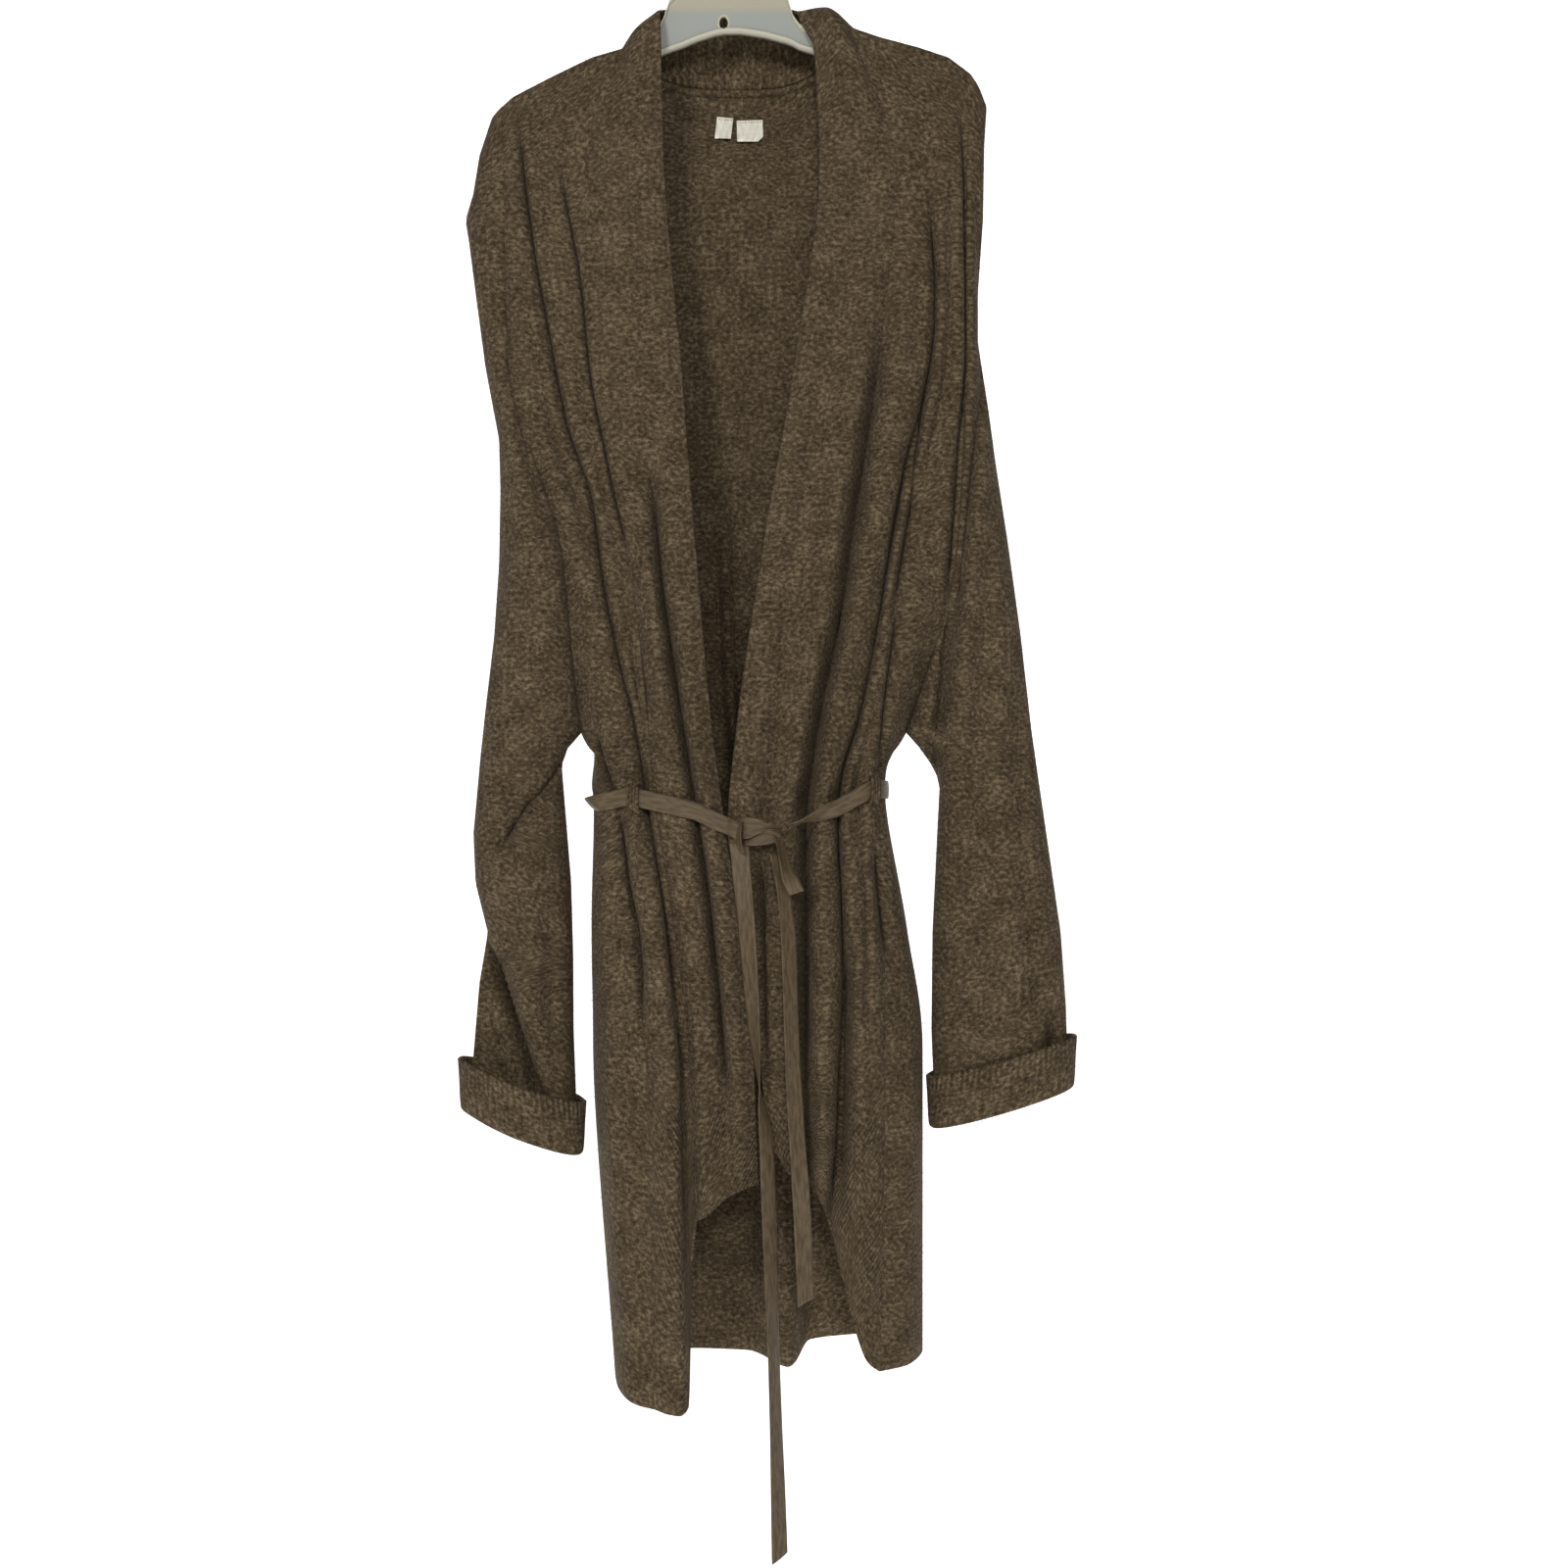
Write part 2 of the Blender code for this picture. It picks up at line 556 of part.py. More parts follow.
def drawn_back(points, normals, border, shared):
    """Seam points moved half the seam gap into their own piece."""
    inwards = {}
    for a, b in border:
        if not (shared[a] and shared[b]):
            continue
        along = points[b] - points[a]
        length = np.linalg.norm(along)
        for end in (a, b):
            step = np.cross(normals[end], along / length)
            inwards.setdefault(end, []).append(step / np.linalg.norm(step))
    moved = points.copy()
    for end, steps in inwards.items():
        if len(steps) == 1:
            moved[end] += steps[0] * SEAM_GAP / 2
        else:
            total = steps[0] + steps[1]
            moved[end] += total * (SEAM_GAP / 2) / max(1 + float(np.dot(steps[0], steps[1])), 0.3)
    return moved


def thickened(points, triangles, normals, wall, sewn):
    """A closed wall: both faces of the cloth and a rim along every free border.

    The sewn points are where the cloth was before its seams were drawn back. They settle which
    way the rim's faces are split, so that both sides of a seam are split alike.
    """
    count = len(points)
    outer = points + normals * wall / 2
    inner = points - normals * wall / 2
    faces = [tuple(face) for face in triangles]
    faces += [(c + count, b + count, a + count) for a, b, c in triangles]
    for a, b in edge_loops(triangles):
        if tuple(sewn[a].round(1)[::-1]) > tuple(sewn[b].round(1)[::-1]):
            faces += [(b, a, a + count), (b, a + count, b + count)]
        else:
            faces += [(b, a, b + count), (a, a + count, b + count)]
    return np.concatenate([outer, inner]), faces


def portion(points, normals, shared, triangles):
    """Only the points that these triangles use, numbered anew."""
    used = sorted({corner for triangle in triangles for corner in triangle})
    number = {old: new for new, old in enumerate(used)}
    faces = [tuple(number[corner] for corner in triangle) for triangle in triangles]
    return points[used], normals[used], [shared[old] for old in used], faces


def sew(pieces, parted):
    """Walls for pieces that meet at seams, with the same slant on both sides of each seam.

    A parted piece becomes two bodies at one row of its points.
    """
    split = {}
    total = {}
    users = {}
    for name, (points, faces, wall) in pieces.items():
        triangles = split_faces(points, faces)
        normals = point_normals(points, triangles)
        normals /= np.linalg.norm(normals, axis=1)[:, None]
        split[name] = (triangles, normals)
        for point, normal in zip(points, normals):
            key = corner_key(point)
            total[key] = total.get(key, 0.0) + normal
            users.setdefault(key, set()).add(name)
    solids = {}
    for name, (points, faces, wall) in pieces.items():
        triangles, _ = split[name]
        keys = [corner_key(point) for point in points]
        normals = np.array([total[key] for key in keys])
        normals /= np.linalg.norm(normals, axis=1)[:, None]
        shared = [len(users[key]) > 1 for key in keys]
        bodies = {name: triangles}
        if name in parted:
            lower_name, first, last = parted[name]
            shared[first:last + 1] = [True] * (last + 1 - first)
            bodies = {name: [triangle for triangle in triangles if max(triangle) <= last],
                      lower_name: [triangle for triangle in triangles if max(triangle) > last]}
        for body, chosen in bodies.items():
            own_points, own_normals, own_shared, own_faces = portion(points, normals, shared, chosen)
            moved = drawn_back(own_points, own_normals, edge_loops(own_faces), own_shared)
            solids[body] = thickened(moved, own_faces, own_normals, wall, own_points)
    return solids


def flipped(mesh):
    points, faces = mesh
    return points, [tuple(reversed(face)) for face in faces]


def lone_solid(points, faces, wall):
    """The wall of a piece that is sewn to nothing else."""
    triangles = split_faces(points, faces)
    normals = point_normals(points, triangles)
    normals /= np.linalg.norm(normals, axis=1)[:, None]
    return thickened(points, triangles, normals, wall, points)


# Hanger: across, top height and bottom height of the moulding at each station.
HANGER_STATIONS = [
    (-184, -203, -212), (-181, -200, -214), (-175, -194, -213), (-160, -184, -206),
    (-144, -175.5, -198), (-113, -160.5, -184), (-89, -153.5, -170), (-76, -144, -162.5),
    (-61, -131, -155), (-57, -124, -153), (-52, -109, -151), (-42, -99, -147.5),
    (-30, -89, -142.5), (-16, -77, -138), (-8, -70, -136.5), (4, -68, -136.5), (12, -75, -137.5),
    (24, -87, -139.5), (41, -105, -144), (46, -121, -146), (51, -128, -149), (61, -133, -152),
    (76, -136.5, -157), (94, -137.5, -162), (115, -144.5, -170), (145, -152.5, -180),
    (165, -158.5, -186), (176, -166.5, -191), (182, -173, -190), (185, -176, -187),
]
HANGER_WEB = 1.5
HANGER_RIM = 3.4
HANGER_RIM_HEIGHT = 4.0
HANGER_BEVEL = 1.2
# The moulding thins towards its tips, where it is less than this high.
HANGER_TIP_HEIGHT = 8.0
HANGER_TIP_SHARE = 0.6
HOOK_WIRE_RADIUS = 2.6
HOOK_INSIDE_RADIUS = 18.0
HOOK_SIDES = 8
# The hook's stem, up from the plate to where the bend round the rod starts.
HOOK_STEM = [(-3.5, 0.0, -84.0), (-2.0, 0.0, -50.0), (3.0, 0.0, -43.0), (13.0, 0.0, -34.0)]
HOOK_BEND_START = -12.0
HOOK_BEND = 212.0
HOOK_BEND_STEPS = 16
HOOK_RINGS = 25
# The oval hole through the plate: centre across and height, half width and half height.
PLATE_HOLE = (-9.0, -128.0, 3.4, 5.0)
PLATE_HOLE_SIDES = 20
PLATE_HOLE_REACH = 10.0


def hanger_moulding():
    """Sections across the moulding: a thin web with a rim along its top and bottom."""
    sections = []
    for across, top, bottom in HANGER_STATIONS:
        rim_height = min(HANGER_RIM_HEIGHT, (top - bottom) / 4)
        half = HANGER_RIM * (HANGER_TIP_SHARE if top - bottom < HANGER_TIP_HEIGHT else 1.0)
        side = [(0.5 * half, top), (half, top - HANGER_BEVEL), (half, top - rim_height),
                (HANGER_WEB, top - rim_height - HANGER_BEVEL),
                (HANGER_WEB, bottom + rim_height + HANGER_BEVEL),
                (half, bottom + rim_height), (half, bottom + HANGER_BEVEL), (0.5 * half, bottom)]
        ring = [(across, depth, height) for depth, height in side]
        ring += [(across, -depth, height) for depth, height in reversed(side)]
        sections.append(ring)
    return lofted(np.array(sections, float))


def facing_out(points, faces):
    """The same closed body with its faces turned outwards."""
    volume = 0.0
    for face in faces:
        for second, third in zip(face[1:], face[2:]):
            volume += np.dot(points[face[0]], np.cross(points[second], points[third]))
    if volume < 0:
        faces = [tuple(reversed(face)) for face in faces]
    return points, faces


def lofted(rings):
    """A closed body through a row of rings, with flat ends."""
    count = rings.shape[1]
    points = rings.reshape(-1, 3)
    faces = []
    for row in range(len(rings) - 1):
        for place in range(count):
            following = (place + 1) % count
            a = row * count + place
            b = row * count + following
            faces.append((a, b, b + count, a + count))
    faces.append(tuple(reversed(range(count))))
    faces.append(tuple(range(len(points) - count, len(points))))
    return facing_out(points, faces)


def hook_path():
    """Up the stem, over to the right and round the rod to the left."""
    radius = HOOK_INSIDE_RADIUS + HOOK_WIRE_RADIUS
    points = list(HOOK_STEM)
    for step in range(HOOK_BEND_STEPS + 1):
        turn = math.radians(HOOK_BEND_START + HOOK_BEND * step / HOOK_BEND_STEPS)
        points.append((radius * math.cos(turn), 0.0, -HOOK_INSIDE_RADIUS + radius * math.sin(turn)))
    knots = np.arange(len(points))
    return smooth(points, knots, np.linspace(0, len(points) - 1, HOOK_RINGS))


def tube(path, radius, sides):
    """A round bar along a path that stays in the plane of the hanger."""
    rings = []
    for place, point in enumerate(path):
        ahead = path[min(place + 1, len(path) - 1)]
        behind = path[max(place - 1, 0)]
        along = (ahead - behind) / np.linalg.norm(ahead - behind)
        side = np.cross(along, (0.0, 1.0, 0.0))
        ring = []
        for corner in range(sides):
            turn = 2 * math.pi * corner / sides
            ring.append(point + radius * (math.cos(turn) * side + math.sin(turn) * np.array((0, 1, 0))))
        rings.append(ring)
    return lofted(np.array(rings))


# The belt: a ribbon drawn tight round the gathered waist and tied in front.
KNOT_LEFT_END = 3.0
KNOT_RIGHT_END = 37.0
BELT_CLEARANCE = 2.0
BELT_POINTS = 72
# The ribbon lies flat behind this depth, and its two ends part in front of the other.
BELT_TURN_BEHIND = 10.0
BELT_ENDS_BEFORE = -40.0
KNOT_FRONT = -75.0
# Turn of the ribbon out of the upright, by place across the front: across, degrees.
BELT_TURN = np.array([(-120, 0), (-82, 0), (-30, 0), (4, 8), (37, 62), (54, 76),
                      (66, 40), (84, 6), (98, 0), (122, 0)], float)
Stretch = namedtuple("Stretch", "height across depth width turn")
TAIL_LONG = [
    Stretch(-778, 5, -79, 13.5, 0), Stretch(-810, 8, -80, 13.5, -6), Stretch(-850, 11, -79, 13, -14),
    Stretch(-900, 14, -78, 12.5, -24), Stretch(-950, 17, -78, 12.5, -40),
    Stretch(-990, 21, -78, 12.5, -52), Stretch(-1030, 24.5, -78, 12.5, -34),
    Stretch(-1080, 27, -78, 12.5, -22), Stretch(-1140, 29, -77, 12.5, -30),
    Stretch(-1200, 31.5, -76, 12.5, -40), Stretch(-1260, 34, -75, 12.5, -30),
    Stretch(-1326, 35.5, -74, 12.5, -20),
]
TAIL_SHORT = [
    Stretch(-786, 34, -79, 13, 30), Stretch(-815, 39, -79, 13, 34), Stretch(-860, 43, -78, 13, 22),
    Stretch(-930, 47, -77, 13, 16), Stretch(-1000, 51, -77, 13, 10), Stretch(-1060, 54, -77, 13, 4),
    Stretch(-1128, 56, -76, 13, 8),
]
BOW_END = [
    Stretch(-779, 37, -87, 13.5, 30), Stretch(-790, 38, -92, 13.5, 42), Stretch(-804, 43, -91, 13.5, 20),
    Stretch(-818, 49, -88, 13.5, 4),
]
# How many rows each hanging stretch has.
TAIL_LONG_ROWS = 23
TAIL_SHORT_ROWS = 13
BOW_END_ROWS = 10
# The knot, section by section from its left end: across, middle height, half height, half depth.
KNOT_SECTIONS = [
    (4.2, -769, 6.5, 2.6), (8, -767, 10.2, 5.2), (15, -766, 10.4, 6.6), (22, -767.5, 9.2, 6.6),
    (28, -770, 8.2, 6.0), (33, -772, 6.6, 4.6), (36, -773, 4.4, 2.4),
]
KNOT_DEPTH = -80.5
KNOT_SIDES = 12


def outline_round(points):
    """The tightest line round a set of points in plan, anticlockwise from above."""
    ordered = sorted(set((float(x), float(y)) for x, y in points))

    def half(sequence):
        chain = []
        for point in sequence:
            while len(chain) > 1:
                first = np.subtract(chain[-1], chain[-2])
                second = np.subtract(point, chain[-1])
                if first[0] * second[1] - first[1] * second[0] > 0:
                    break
                chain.pop()
            chain.append(point)
        return chain[:-1]

    return np.array(half(ordered) + half(reversed(ordered)))


def belt_path(grids):
    """The ribbon's middle line, from the knot's left end round the back to its right end."""
    near = []
    front_left, front_right, back, band = grids
    for row in range(WAIST_ROW - 1, WAIST_ROW + 2):
        band_rows = (band[LAST_ROW - row], band[len(band) - 1 - LAST_ROW + row])
        for line in (front_left[row], front_right[row], back[row], *band_rows):
            near.extend((x, y) for x, y, _ in line)
    corners = outline_round(near)
    edge = np.roll(corners, -1, axis=0) - corners
    normal = np.stack([edge[:, 1], -edge[:, 0]], axis=1)
    normal /= np.linalg.norm(normal, axis=1)[:, None]
    corner_normal = normal + np.roll(normal, 1, axis=0)
    corner_normal /= np.linalg.norm(corner_normal, axis=1)[:, None]
    offset = KNIT_WALL / 2 + RIBBON_WALL / 2 + BELT_CLEARANCE
    ring = corners + corner_normal * offset
    knot_across = (KNOT_LEFT_END + KNOT_RIGHT_END) / 2
    start = int(np.argmin(np.hypot(ring[:, 0] - knot_across, ring[:, 1] - KNOT_FRONT)))
    ring = np.roll(ring, -start, axis=0)
    closed = np.concatenate([ring, ring[:1]])
    length = np.concatenate([[0], np.cumsum(np.linalg.norm(np.diff(closed, axis=0), axis=1))])
    even = np.linspace(0, length[-1], BELT_POINTS + 1)
    line = np.stack([np.interp(even, length, closed[:, k]) for k in range(2)], axis=1)
    rounded = (np.roll(line[:-1], 1, axis=0) + 2 * line[:-1] + np.roll(line[:-1], -1, axis=0)) / 4
    return rounded[::-1]


def belt_solid(grids):
    line = belt_path(grids)
    centre = np.array([(line[:, 0].min() + line[:, 0].max()) / 2, 0.0])
    kept = []
    for x, y in line:
        if y < BELT_ENDS_BEFORE and KNOT_LEFT_END < x < KNOT_RIGHT_END:
            continue
        kept.append((x, y))
    kept = np.array(kept)
    jump = np.linalg.norm(np.diff(np.concatenate([kept, kept[:1]]), axis=0), axis=1)
    kept = np.roll(kept, -(int(np.argmax(jump)) + 1), axis=0)
    rows = []
    for place, (x, y) in enumerate(kept):
        ahead = kept[min(place + 1, len(kept) - 1)]
        behind = kept[max(place - 1, 0)]
        along = (ahead - behind) / np.linalg.norm(ahead - behind)
        out = np.array([along[1], -along[0]])
        if np.dot(out, kept[place] - centre) < 0:
            out = -out
        turn = math.radians(between(BELT_TURN, x)[0]) if y < BELT_TURN_BEHIND else 0.0
        push = math.sin(abs(turn)) * RIBBON_WIDTH / 2
        middle = np.array([x + out[0] * push, y + out[1] * push, waist_height(x, y)])
        across = np.array([out[0] * math.sin(turn), out[1] * math.sin(turn), math.cos(turn)])
        rows.append((middle - across * RIBBON_WIDTH / 2, middle + across * RIBBON_WIDTH / 2))
    return lone_solid(*grid_mesh(np.array(rows)), RIBBON_WALL)


def ribbon_solid(stretches, rows):
    """A hanging stretch of ribbon. Its turn is how far its face looks away from the front."""
    table = np.array([tuple(stretch) for stretch in stretches], float)
    table = smooth(table, np.arange(len(table)), np.linspace(0, len(table) - 1, rows))
    lines = []
    for height, across, depth, width, turn in table:
        angle = math.radians(turn)
        half = np.array([math.cos(angle), math.sin(angle), 0.0]) * width / 2
        middle = np.array([across, depth, height])
        lines.append((middle - half, middle + half))
    return lone_solid(*grid_mesh(np.array(lines)), RIBBON_WALL)


def knot_solid():
    rings = []
    for across, height, half_height, half_depth in KNOT_SECTIONS:
        ring = []
        for corner in range(KNOT_SIDES):
            turn = 2 * math.pi * corner / KNOT_SIDES
            ring.append((across, KNOT_DEPTH + half_depth * math.sin(turn),
                         height + half_height * math.cos(turn)))
        rings.append(ring)
    return lofted(np.array(rings))


# Belt loops: a short strap that stands off the side seam, over the ribbon.
LOOP_WIDTH = 9.0
LOOP_HALF_HEIGHT = 13.0
LOOP_WALL = 2.0
# Where each loop is across the front of the belt.
LOOP_PLACES = {"belt_loop_left": -75.0, "belt_loop_right": 108.0}
LOOPS_BEFORE = -20.0
# The strap's side view: share of its half height, and distance out from the belt's own face.
LOOP_PROFILE = ((1.0, 0.5), (0.82, 1.4), (0.64, 2.8), (0.2, 3.2), (-0.2, 3.2), (-0.64, 2.8),
                (-0.82, 1.4), (-1.0, 0.5))


def loop_solid(across, depth, out, height):
    """A strap round the ribbon at a point of the belt, facing outwards."""
    out = np.array([out[0], out[1], 0.0])
    along = np.array([-out[1], out[0], 0.0])
    rows = []
    for share, distance in LOOP_PROFILE:
        middle = np.array([across, depth, height + share * LOOP_HALF_HEIGHT]) + out * distance
        rows.append((middle - along * LOOP_WIDTH / 2, middle + along * LOOP_WIDTH / 2))
    return lone_solid(*grid_mesh(np.array(rows)), LOOP_WALL)


# Labels inside the back neck: across and height of the top middle, width, height, tilt in degrees.
LABEL_SIZE = (-9.0, -189.0, 13.0, 20.0, -5.0)
LABEL_MAIN = (11.0, -191.5, 21.0, 20.0, 2.0)
# How far a label stands off the knit at its top, and how much further at its bottom.
LABEL_STAND = 1.2
LABEL_SWING = 1.5
# The rows of the back that can lie behind a label.
LABEL_ROWS = 8


def label_solid(label, back):
    """A small tape that hangs just inside the back panel."""
    across, top, width, height, tilt = label
    angle = math.radians(tilt)
    inside = back[:LABEL_ROWS].reshape(-1, 3)
    rows = []
    for share_down in (0.0, 0.5, 1.0):
        row = []
        for share_across in (-0.5, 0.0, 0.5):
            x = across + width * share_across * math.cos(angle) + height * share_down * math.sin(angle)
            z = top - height * share_down * math.cos(angle) + width * share_across * math.sin(angle)
            nearest = inside[np.argsort((inside[:, 0] - x) ** 2 + (inside[:, 2] - z) ** 2)[:3]]
            depth = nearest[:, 1].min() - KNIT_WALL / 2 - LAID_GAP - LABEL_WALL / 2
            row.append((x, depth - LABEL_STAND - LABEL_SWING * share_down, z))
        rows.append(row)
    return lone_solid(*grid_mesh(np.array(rows)), LABEL_WALL)


def material(name, colour, roughness):
    made = bpy.data.materials.new(name)
    made.use_nodes = True
    shader = made.node_tree.nodes["Principled BSDF"]
    shader.inputs["Base Color"].default_value = (*colour, 1.0)
    shader.inputs["Roughness"].default_value = roughness
    shader.inputs["Metallic"].default_value = 0.0
    made.diffuse_color = (*colour, 1.0)
    return made


def add_object(name, solid, colour, roughness):
    """One named object from points in millimetres, with a material of its own."""
    points, faces = solid
    mesh = bpy.data.meshes.new(name)
    mesh.from_pydata([tuple(float(value) * MM for value in point) for point in points], [],
                     [tuple(int(corner) for corner in face) for face in faces])
    mesh.validate()
    mesh.shade_smooth()
    mesh.set_sharp_from_angle(angle=math.radians(50))
    mesh.materials.append(material(name + "_finish", colour, roughness))
    made = bpy.data.objects.new(name, mesh)
    bpy.context.scene.collection.objects.link(made)
    return made


def cutter_or_joiner(target, tool, operation):
    """Join another body to the target, or cut it away, and keep the tool out of sight."""
    tool.hide_render = True
    tool.display_type = "WIRE"
    change = target.modifiers.new(operation.lower(), "BOOLEAN")
    change.operation = operation
    change.object = tool
    change.solver = "EXACT"


KNIT_COLOUR = (0.085, 0.066, 0.046)
RIBBON_COLOUR = (0.17, 0.12, 0.078)
LABEL_COLOUR = (0.72, 0.69, 0.60)
HANGER_COLOUR = (0.52, 0.54, 0.50)


def add_hanger():
    hanger = add_object("hanger", hanger_moulding(), HANGER_COLOUR, 0.35)
    hook = add_object("hook_bar", tube(hook_path(), HOOK_WIRE_RADIUS, HOOK_SIDES), HANGER_COLOUR, 0.35)
    cutter_or_joiner(hanger, hook, "UNION")
    across, height, half_width, half_height = PLATE_HOLE
    turns = [2 * math.pi * side / PLATE_HOLE_SIDES for side in range(PLATE_HOLE_SIDES)]
    rings = []
    for depth in (-PLATE_HOLE_REACH, PLATE_HOLE_REACH):
        rings.append([(across + half_width * math.cos(turn), depth, height + half_height * math.sin(turn))
                      for turn in turns])
    hole = add_object("hole_bar", lofted(np.array(rings)), HANGER_COLOUR, 0.35)
    cutter_or_joiner(hanger, hole, "DIFFERENCE")


def add_knitwear():
    """All the knitted pieces. The back and the left sleeve part in two bodies at the underarms."""
    front_left = front_left_grid()
    front_right = front_right_grid()
    back = back_grid(front_left, front_right)
    band = band_grid(front_left, front_right)
    left = sleeve_mesh(front_left[:, 0], back[:, 0], LEFT_SLEEVE, LEFT_CREASES)
    right = sleeve_mesh(front_right[:, -1], back[:, -1], RIGHT_SLEEVE, RIGHT_CREASES)
    meshes = {
        "front_left": flipped(grid_mesh(front_left)),
        "front_right": flipped(grid_mesh(front_right)),
        "back": grid_mesh(back),
        "collar_band": grid_mesh(band),
        "sleeve_left": left[:2],
        "sleeve_right": flipped(right[:2]),
        "cuff_left": cuff_mesh(left[2]),
        "cuff_right": flipped(cuff_mesh(right[2])),
    }
    pieces = {name: (points, faces, KNIT_WALL) for name, (points, faces) in meshes.items()}
    across = back.shape[1]
    around = 2 * SLEEVE_HALF + 1
    underarm_ring = SLEEVE_HALF + 1 + (UNDERARM_ROW - 1) * around
    parted = {
        "back": ("back_skirt", UNDERARM_ROW * across, (UNDERARM_ROW + 1) * across - 1),
        "sleeve_left": ("lower_sleeve_left", underarm_ring, underarm_ring + around - 1),
    }
    for name, solid in sew(pieces, parted).items():
        add_object(name, solid, KNIT_COLOUR, 0.95)
    return front_left, front_right, back, band


def add_belt(grids):
    add_object("belt_waist", belt_solid(grids), RIBBON_COLOUR, 0.45)
    add_object("belt_knot", knot_solid(), RIBBON_COLOUR, 0.45)
    add_object("belt_tail_long", ribbon_solid(TAIL_LONG, TAIL_LONG_ROWS), RIBBON_COLOUR, 0.45)
    add_object("belt_tail_short", ribbon_solid(TAIL_SHORT, TAIL_SHORT_ROWS), RIBBON_COLOUR, 0.45)
    add_object("belt_ear", ribbon_solid(BOW_END, BOW_END_ROWS), RIBBON_COLOUR, 0.45)
    line = belt_path(grids)
    front = line[line[:, 1] < LOOPS_BEFORE]
    for name, across in LOOP_PLACES.items():
        place = int(np.argmin(np.abs(front[:, 0] - across)))
        x, y = front[place]
        following = front[place - 1] - front[place + 1]
        out = np.array([following[1], -following[0]]) / np.linalg.norm(following)
        if out[1] > 0:
            out = -out
        add_object(name, loop_solid(x, y, out, waist_height(x, y)), KNIT_COLOUR, 0.95)


def main():
    for old in list(bpy.data.objects):
        bpy.data.objects.remove(old, do_unlink=True)
    add_hanger()
    grids = add_knitwear()
    add_belt(grids)
    add_object("label_size", label_solid(LABEL_SIZE, grids[2]), LABEL_COLOUR, 0.7)
    add_object("label_main", label_solid(LABEL_MAIN, grids[2]), LABEL_COLOUR, 0.7)


main()
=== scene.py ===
# %% [markdown]
# # A high-low cardigan on its hanger
#
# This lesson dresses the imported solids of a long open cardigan. The real garment is a thick
# heathered knit, so nearly every piece here is a thin shell of cloth with its own folds. The solids
# give each piece its place and its size, and the shells follow the same fold tables with many more
# points. All tables are in millimetres, and the meshes are in metres.

# %% Load the frame
import math
from collections import namedtuple

import bpy
import numpy as np
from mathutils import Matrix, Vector


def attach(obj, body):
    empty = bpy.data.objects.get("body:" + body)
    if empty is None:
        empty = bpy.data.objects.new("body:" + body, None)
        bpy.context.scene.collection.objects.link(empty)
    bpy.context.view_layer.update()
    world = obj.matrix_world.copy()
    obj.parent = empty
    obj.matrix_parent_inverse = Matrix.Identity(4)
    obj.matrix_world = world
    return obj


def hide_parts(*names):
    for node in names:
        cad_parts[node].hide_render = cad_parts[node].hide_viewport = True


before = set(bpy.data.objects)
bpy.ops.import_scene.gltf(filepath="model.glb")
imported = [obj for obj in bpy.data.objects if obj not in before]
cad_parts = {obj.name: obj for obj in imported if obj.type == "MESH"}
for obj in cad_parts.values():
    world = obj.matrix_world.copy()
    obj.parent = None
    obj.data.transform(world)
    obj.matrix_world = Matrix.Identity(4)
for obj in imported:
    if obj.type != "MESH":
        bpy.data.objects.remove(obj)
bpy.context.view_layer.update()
MM = 0.001
FULL_TURN = 2 * math.pi

# %% [markdown]
# ## Camera, floor and light
#
# The photo looks straight at the cardigan from a little over a metre and a half, level with its
# waist, and its background is plain white. One pale sweep serves as floor and wall, so there is no
# edge behind the garment. The main light comes from the front and a little from the left, with
# weaker lamps above and behind, because the photo has soft folds with only a little shadow.

# %% Camera
CAMERA_PLACE = (0.039, -1.6, -0.733)
PHOTO_WIDTH_AT_HANGER = 1.248

camera_data = bpy.data.cameras.new("camera")
camera_data.sensor_width = 36.0
camera_data.lens = camera_data.sensor_width * -CAMERA_PLACE[1] / PHOTO_WIDTH_AT_HANGER
camera = bpy.data.objects.new("camera", camera_data)
camera.location = CAMERA_PLACE
camera.rotation_euler = (math.radians(90), 0, 0)
bpy.context.scene.collection.objects.link(camera)
bpy.context.scene.camera = camera
print("camera lens", round(camera_data.lens, 2))

# %% Floor and wall in one sweep
FLOOR_HEIGHT = -1.60
SWEEP_HALF_WIDTH = 4.0
SWEEP_FRONT = -3.5
SWEEP_BACK = 2.4
SWEEP_RADIUS = 1.2
SWEEP_TOP = 2.6


def plain_mesh(name, points, faces, smooth=True):
    mesh = bpy.data.meshes.new(name)
    mesh.from_pydata([tuple(map(float, point)) for point in points], [], faces)
    mesh.validate()
    if smooth:
        mesh.shade_smooth()
    made = bpy.data.objects.new(name, mesh)
    bpy.context.scene.collection.objects.link(made)
    return made


def sweep_profile():
    profile = [(SWEEP_FRONT, FLOOR_HEIGHT)]
    for step in range(13):
        turn = math.radians(90 * step / 12)
        profile.append((SWEEP_BACK - SWEEP_RADIUS + SWEEP_RADIUS * math.sin(turn),
                        FLOOR_HEIGHT + SWEEP_RADIUS * (1 - math.cos(turn))))
    return profile + [(SWEEP_BACK, SWEEP_TOP)]


profile = sweep_profile()
sweep_points = [(side * SWEEP_HALF_WIDTH, y, z) for y, z in profile for side in (-1, 1)]
sweep_faces = [(2 * k, 2 * k + 1, 2 * k + 3, 2 * k + 2) for k in range(len(profile) - 1)]
sweep = plain_mesh("pale_sweep", sweep_points, sweep_faces)
sweep_finish = bpy.data.materials.new("pale_sweep_finish")
sweep_finish.use_nodes = True
sweep_shader = sweep_finish.node_tree.nodes["Principled BSDF"]
sweep_shader.inputs["Base Color"].default_value = (0.93, 0.93, 0.925, 1)
sweep_shader.inputs["Roughness"].default_value = 0.95
sweep_shader.inputs["Emission Color"].default_value = (1, 1, 1, 1)
sweep_shader.inputs["Emission Strength"].default_value = 0.75
sweep.data.materials.append(sweep_finish)

